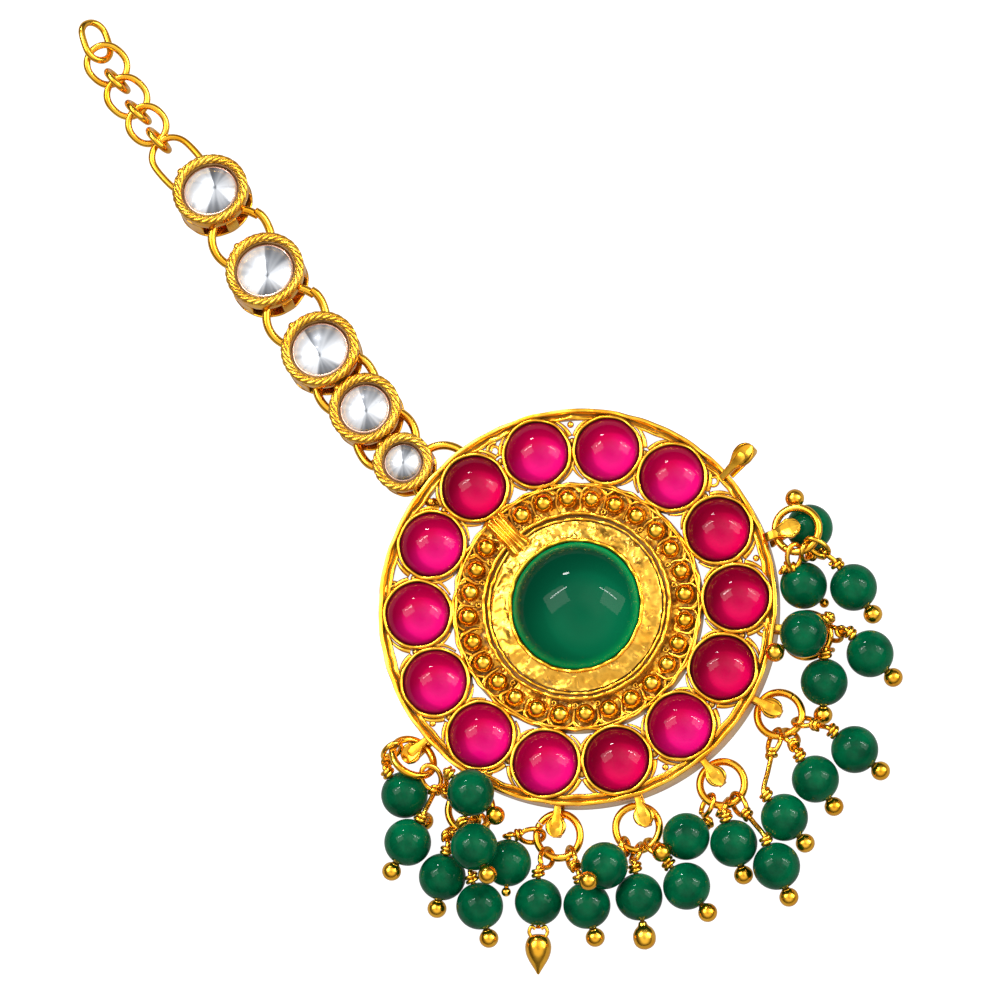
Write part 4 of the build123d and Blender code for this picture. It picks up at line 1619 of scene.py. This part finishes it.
@dataclass
class Drops:
    """Jump rings in the lugs with their beads and head pins, in millimetres."""

    medallion: Medallion
    ring_radius: float = 2.3
    ring_wire: float = 0.4
    bead_radius: float = 2.45
    bead_inset: float = 0.006
    bead_hole: float = 0.36
    pin_wire: float = 0.27
    wrap_wire: float = 0.22
    eye_radius: float = 0.80
    eye_side: float = 0.92
    eye_reach: float = 1.9
    eye_opening: float = 0.12
    eye_sways: tuple[int, ...] = (-42, 42, 48, -36)
    wrap_radius: float = 0.46
    wrap_pitch: float = 0.50
    collar_radius: float = 0.52
    collar_pitch: float = 0.46
    collar: float = 1.0
    short_collar: float = 0.45
    gap: float = 0.05
    teardrop: Outline = (
        (0.0, 0.95),
        (0.5, 0.88),
        (0.95, 1.1),
        (1.26, 1.6),
        (1.38, 2.25),
        (1.28, 2.95),
        (1.0, 3.6),
        (0.62, 4.2),
        (0.3, 4.7),
        (0.12, 5.05),
        (0.0, 5.1),
    )
    bell: Outline = (
        (0.0, 0.1),
        (0.4, 0.1),
        (0.5, 0.55),
        (0.85, 0.8),
        (1.15, 1.3),
        (1.2, 1.9),
        (1.05, 2.5),
        (0.6, 2.92),
        (0.0, 3.05),
    )
    charm_ear: Outline = ((0.62, 1.3), (0.95, 0.7), (0.7, 0.1), (0.3, 0.35))
    drops: tuple[Drop, ...] = (
        Drop(1, -26.4, -3.0, 2.5, -95, -25, PinEnd.BALL, -62),
        Drop(1, -29.3, -7.2, 3.3, -162, -12, PinEnd.BALL, 96),
        Drop(2, -20.9, -8.1, 5.8, -83, -5, PinEnd.BALL, -101),
        Drop(2, -28.9, -12.2, 2.5, -144, -22, PinEnd.BALL, -10),
        Drop(2, -24.2, -12.75, 6.4, -103, 15, PinEnd.BALL, 70),
        Drop(2, -27.9, -17.1, 2.5, -116, -15, PinEnd.BALL, 30),
        Drop(3, -22.8, -15.6, 2.5, -134, -5, PinEnd.SMALL),
        Drop(3, -23.0, -20.8, 2.5, -132, -12, PinEnd.TEARDROP),
        Drop(3, -19.4, -24.4, 2.5, -118, -20),
        Drop(4, -15.3, -22.9, 5.0, -165, 50),
        Drop(4, -14.75, -27.3, 2.5, -124, -12, PinEnd.BELL),
        Drop(4, -10.3, -29.7, 2.5, -92, -2),
        Drop(5, -7.0, -25.75, 2.5, 178, 32, PinEnd.BALL, -74),
        Drop(5, -3.75, -29.55, 2.5, -115, -22, PinEnd.BALL, -36),
        Drop(5, -1.95, -34.25, 2.5, -110, -20),
        Drop(6, 1.95, -30.95, 2.5, -92, -22),
        Drop(6, 6.95, -30.05, 2.5, -97, -22),
        Drop(6, 12.0, -30.4, 2.5, -80, -18),
        Drop(7, 15.8, -18.3, 5.5, 172, 0, PinEnd.BALL, 38),
        Drop(7, 14.2, -23.0, 2.5, -135, -22),
        Drop(7, 19.7, -23.9, 2.5, -86, -22),
        Drop(8, 23.6, -9.7, 2.48, 75, 25, PinEnd.BALL, -87),
        Drop(8, 19.2, -13.9, 2.5, -80, -30, PinEnd.SMALL, -115),
        Drop(8, 22.95, -17.5, 2.5, -95, -22),
    )

    def build(self) -> None:
        """Build the rings, beads and pins of each lug."""
        for number, spec in enumerate(self.medallion.lugs, 1):
            hanging = [(k, drop) for k, drop in enumerate(self.drops, 1) if drop.ring == number]
            if not hanging:
                continue
            self.ring(number, spec)
            beads, pins = Form(), Form()
            for seed, drop in hanging:
                self.bead(beads, drop)
                self.pin(pins, drop, spec, seed)
            beads.piece(f"beads_{number}", JADE, Slot.BEAD, f"bead_group_{number}")
            pins.piece(f"head_pins_{number}", GOLD_WIRE, Slot.GOLD, f"head_pin_group_{number}")

    def axes(self, spec: Lug) -> tuple[Array, Array, Array]:
        """Centre of a jump ring, its outward direction and its sideways direction."""
        centre = polar(spec.ring_radius, spec.ring_deg, spec.ring_z)
        return centre, direction(spec.ring_deg, spec.ring_tilt), direction(spec.ring_deg + 90)

    def ring(self, number: int, spec: Lug) -> None:
        """Jump ring with a fine saw cut."""
        centre, outward, sideways = self.axes(spec)
        start = math.radians(40 + 67 * number)
        turn = np.linspace(start + 0.012, start + TURN - 0.012, 120)
        r = self.ring_radius + 0.03 * ripple(turn, 400 + number, (2, 3))
        form = Form()
        form.tube(loop(centre, turn, r, outward, sideways), self.ring_wire, 16)
        form.piece(f"jump_ring_{number}", GOLD_WIRE, Slot.GOLD, f"drop_ring_{number}")

    def bead(self, form: Form, drop: Drop) -> None:
        """Round bead drilled for its pin, inset a hair so that its facets stay inside the CAD's ball."""
        low = math.asin(self.bead_hole / self.bead_radius)
        arc = np.linspace(low, math.pi - low, 32)
        ball = self.bead_radius - self.bead_inset
        shape = Form()
        shape.lathe([(ball * math.sin(a), ball * math.cos(a)) for a in arc], 48)
        place = np.array([drop.x, drop.y, drop.z])
        form.join(shape.moved(frame_on(place, direction(drop.pin_deg, drop.pin_rise))))

    def pin(self, form: Form, drop: Drop, spec: Lug, seed: int) -> None:
        """Head pin: eye round the jump ring, wraps, collar at the bead, shank and end.

        Args:
            form: mesh that gets the pin.
            drop: the drop it belongs to.
            spec: the lug whose ring carries it.
            seed: varies the wraps.
        """
        rng = np.random.default_rng(500 + seed)
        middle = np.array([drop.x, drop.y, drop.z])
        line = direction(drop.pin_deg, drop.pin_rise)
        small = drop.end is PinEnd.SMALL
        bend = middle - line * (self.bead_radius + self.gap + (self.short_collar if small else self.collar))
        neck, along = self.eye(form, drop, spec, bend, math.radians(rng.choice(self.eye_sways)))
        run = bend - neck
        length = float(np.linalg.norm(run))
        axis = run / length
        top = middle - line * self.bead_radius
        form.tube(smooth_path([neck, neck + run * 0.5, bend, top], 8), self.pin_wire, 12)
        shank = np.array([top, middle + line * (self.bead_radius + 0.3)])
        form.tube(shank, self.pin_wire * 0.9, 10)
        if length > 1.1:
            side = unit(np.cross(axis, line + 0.01 + 0.2 * along))
            turns = 1.6 if length > 1.6 else 1.2
            self.coil(form, neck - axis * 0.1, axis, side, turns, self.wrap_radius, self.wrap_pitch)
        side = unit(np.cross(line, axis + 0.013))
        start = middle - line * (self.bead_radius + self.gap + 0.16)
        radius = self.collar_radius + rng.uniform(-0.03, 0.05)
        self.coil(form, start, -line, side, 0.9 if small else 1.7, radius, self.collar_pitch)
        self.pin_end(form, drop.end, middle + line * self.bead_radius, line)

    def eye(self, form: Form, drop: Drop, spec: Lug, bend: Array, sway: float) -> tuple[Array, Array]:
        """Long open loop round the jump ring, swayed to one side, with its ends a little apart.

        Args:
            form: mesh that gets it.
            drop: the drop it belongs to.
            spec: the lug whose ring carries it.
            bend: where the pin turns into line with its bead.
            sway: how far the loop leans, in radians.

        Returns:
            Where the loop closes on its stem, and the jump ring's direction at the loop.
        """
        centre, outward, sideways = self.axes(spec)
        away = bend - centre
        angle = math.atan2(away.dot(sideways), away.dot(outward))
        if drop.eye_deg is not None:
            angle = math.radians(drop.eye_deg)
        point = centre + (outward * math.cos(angle) + sideways * math.sin(angle)) * self.ring_radius
        along = sideways * math.cos(angle) - outward * math.sin(angle)
        toward = bend - point
        inward = unit(toward - along * toward.dot(along))
        over = np.cross(along, inward) * math.cos(sway) + along * math.sin(sway)
        reach = min(self.eye_reach, 0.8 * float(np.linalg.norm(toward)))
        half = (reach + self.eye_radius) / 2
        turn = np.linspace(self.eye_opening, TURN - self.eye_opening, 48)
        path = point + inward * (half - self.eye_radius)
        path = path + np.outer(half * np.cos(turn), inward) + np.outer(self.eye_side * np.sin(turn), over)
        path += np.linspace(-0.1, 0.1, 48)[:, None] * along
        form.tube(path, self.pin_wire, 12)
        return point + inward * reach, along

    def coil(
        self, form: Form, start: Array, axis: Array, side: Array, turns: float, radius: float, pitch: float
    ) -> None:
        """Wind thin wire round a stem.

        Args:
            form: mesh that gets it.
            start: where it begins on the stem.
            axis: direction along the stem.
            side: direction at right angles to the stem where it begins.
            turns: how many times it goes round.
            radius: radius of the winding.
            pitch: step along the stem for each turn.
        """
        wind = np.linspace(0, turns * TURN, int(32 * turns))
        loops = start + np.outer(wind / TURN * pitch, axis)
        loops += radius * (np.outer(np.cos(wind), side) + np.outer(np.sin(wind), np.cross(axis, side)))
        form.tube(loops, self.wrap_wire, 12)

    def pin_end(self, form: Form, end: PinEnd, start: Array, line: Array) -> None:
        """End of a head pin beyond the bead.

        Args:
            form: mesh that gets it.
            end: the kind of end.
            start: the bead's surface.
            line: direction of the pin.
        """
        shape = Form()
        if end is PinEnd.TEARDROP:
            shape.lathe(rounded(self.teardrop, 0.3, closed=False), 40, closed=False)
            for hand in (-1, 1):
                shape.tube(smooth_path([(x * hand, 0, z) for x, z in self.charm_ear], 6), 0.2, 10)
        elif end is PinEnd.BELL:
            shape.lathe(rounded(self.bell, 0.3, closed=False), 36, closed=False)
        else:
            size = 1.0 if end is PinEnd.BALL else 0.5
            shape.ball((0, 0, size + self.gap), size, 32, (1, 1, 0.98))
            foot = [(0.0, 0.0), (0.34 * size, 0.02), (0.42 * size, 0.12), (0.6 * size, 0.3), (0.0, 0.5)]
            shape.lathe(foot, 20, closed=False)
        form.join(shape.moved(frame_on(start, line)))


# ------------------------------------------------------------------ studio
@dataclass
class Lamp:
    """A soft lamp: where it shines from in the camera's axes, its size, its brightness and its turn."""

    name: str
    toward: tuple[float, float, float]
    width: float
    height: float
    radiance: float
    spin: float = 0.0
    only_mirrored: bool = False


@dataclass
class Studio:
    """Table, soft lamps, sky and camera, in metres."""

    camera_at: tuple[float, float, float] = (0.00097, -0.12527, 0.58342)
    look: tuple[float, float, float] = (0.0004, 0.2334, -0.9724)
    right: tuple[float, float, float] = (0.756, -0.6366, -0.1525)
    lens_mm: float = 205.2
    lamp_distance: float = 0.9
    middle: tuple[float, float, float] = (0.001, 0.012, 0.0)
    table_half: float = 4.0
    table_drop: float = 0.00005
    sky_tones: tuple[tuple[float, str], ...] = (
        (0.0, "#363636"),
        (0.3, "#565656"),
        (0.55, "#868686"),
        (0.76, "#E4E4E4"),
        (0.93, "#F4F4F4"),
        (1.0, "#C0C0C0"),
    )
    sky_strength: float = 1.3
    patch_way: tuple[float, float, float] = (0.36, 0.34, 0.87)
    patch_strength: float = 0.9
    patch_edge: tuple[float, float] = (0.86, 0.99)
    lamps: tuple[Lamp, ...] = (
        Lamp("key", (-0.35, 0.85, 0.40), 0.12, 0.05, 120.0),
        Lamp("strip_left", (-0.567, 0.475, 0.671), 0.46, 0.028, 62.0, 22.0),
        Lamp("strip_right", (0.626, 0.452, 0.634), 0.46, 0.028, 62.0, -20.0),
        Lamp("panel_left", (-0.62, 0.32, 0.70), 0.55, 0.45, 5.5, 22.0, True),
        Lamp("panel_right", (0.72, 0.28, 0.62), 0.55, 0.45, 5.5, -20.0, True),
    )

    def build(self) -> None:
        """Set up the table, lamps, sky and camera."""
        self.camera()
        self.table()
        self.sky()
        for lamp in self.lamps:
            self.lamp(lamp)

    def view_axes(self) -> tuple[Vector, Vector, Vector]:
        """Right, up and back directions of the camera."""
        back = -Vector(self.look).normalized()
        right = Vector(self.right)
        right = (right - back * right.dot(back)).normalized()
        return right, back.cross(right), back

    def toward(self, way: Spot) -> Vector:
        """Direction given in the camera's axes: right, up and back."""
        right, up, back = self.view_axes()
        return (right * way[0] + up * way[1] + back * way[2]).normalized()

    def camera(self) -> None:
        """Camera that looks down at about 76 degrees."""
        data = bpy.data.cameras.new("camera")
        data.lens = self.lens_mm
        data.sensor_width = 36.0
        data.clip_start = 0.01
        eye = add_object("camera", data)
        eye.matrix_world = Matrix.Translation(self.camera_at) @ Matrix(self.view_axes()).transposed().to_4x4()
        bpy.context.scene.camera = eye

    def table(self) -> None:
        """White board just under the piece."""
        mesh = bpy.data.meshes.new("table")
        half = self.table_half
        corners = [(x * half, y * half, 0) for x, y in ((-1, -1), (1, -1), (1, 1), (-1, 1))]
        mesh.from_pydata(corners, [], [(0, 1, 2, 3)])
        mesh.materials.append(BOARD.material())
        board = add_object("table", mesh)
        board.location = (0, 0, -self.table_drop)

    def sky(self) -> None:
        """Pale sky, with a brighter patch and darker towards the table; the camera itself sees white."""
        world = bpy.data.worlds.new("studio_tent")
        bpy.context.scene.world = world
        world.use_nodes = True
        tree = world.node_tree
        tree.nodes.clear()
        place = add_node(tree, "ShaderNodeTexCoord").outputs["Generated"]
        back = self.view_axes()[2]
        tone = ramp(tree, vector_calc(tree, "DOT_PRODUCT", place, tuple(back)), self.sky_tones)
        near = vector_calc(tree, "DOT_PRODUCT", place, tuple(self.toward(self.patch_way)))
        patch = spread(tree, near, *self.patch_edge, ease="SMOOTHSTEP")
        lift = calc(tree, "MULTIPLY_ADD", patch, self.patch_strength, self.sky_strength)
        seen = add_node(tree, "ShaderNodeLightPath").outputs["Is Camera Ray"]
        feeds = {"Color": mix(tree, seen, tone, linear("#FFFFFF")), "Strength": lift}
        light = add_node(tree, "ShaderNodeBackground", feeds=feeds)
        add_node(tree, "ShaderNodeOutputWorld", feeds={"Surface": light.outputs[0]})

    def lamp(self, lamp: Lamp) -> None:
        """Place one rectangular lamp, turned to the piece."""
        right, out = self.view_axes()[0], self.toward(lamp.toward)
        data = bpy.data.lights.new(lamp.name, "AREA")
        data.shape = "RECTANGLE"
        data.size, data.size_y = lamp.width, lamp.height
        data.energy = lamp.radiance * lamp.width * lamp.height * math.pi
        thing = add_object(lamp.name, data)
        thing.visible_diffuse = not lamp.only_mirrored
        flat = (right - out * right.dot(out)).normalized()
        a = math.radians(lamp.spin)
        x = flat * math.cos(a) + out.cross(flat) * math.sin(a)
        turn = Matrix((x, out.cross(x), out)).transposed().to_4x4()
        thing.matrix_world = Matrix.Translation(Vector(self.middle) + out * self.lamp_distance) @ turn


def main() -> None:
    """Build every piece, then the studio, and note the sizes."""
    logging.basicConfig(level=logging.INFO, format="%(name)s %(message)s")
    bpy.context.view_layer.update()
    medallion = Medallion()
    medallion.build()
    Cabochons(medallion).build()
    Strand().build()
    TopChain().build()
    Drops(medallion).build()
    Studio().build()
    bpy.context.scene.view_settings.view_transform = "Standard"


if __name__ == "__main__":
    main()
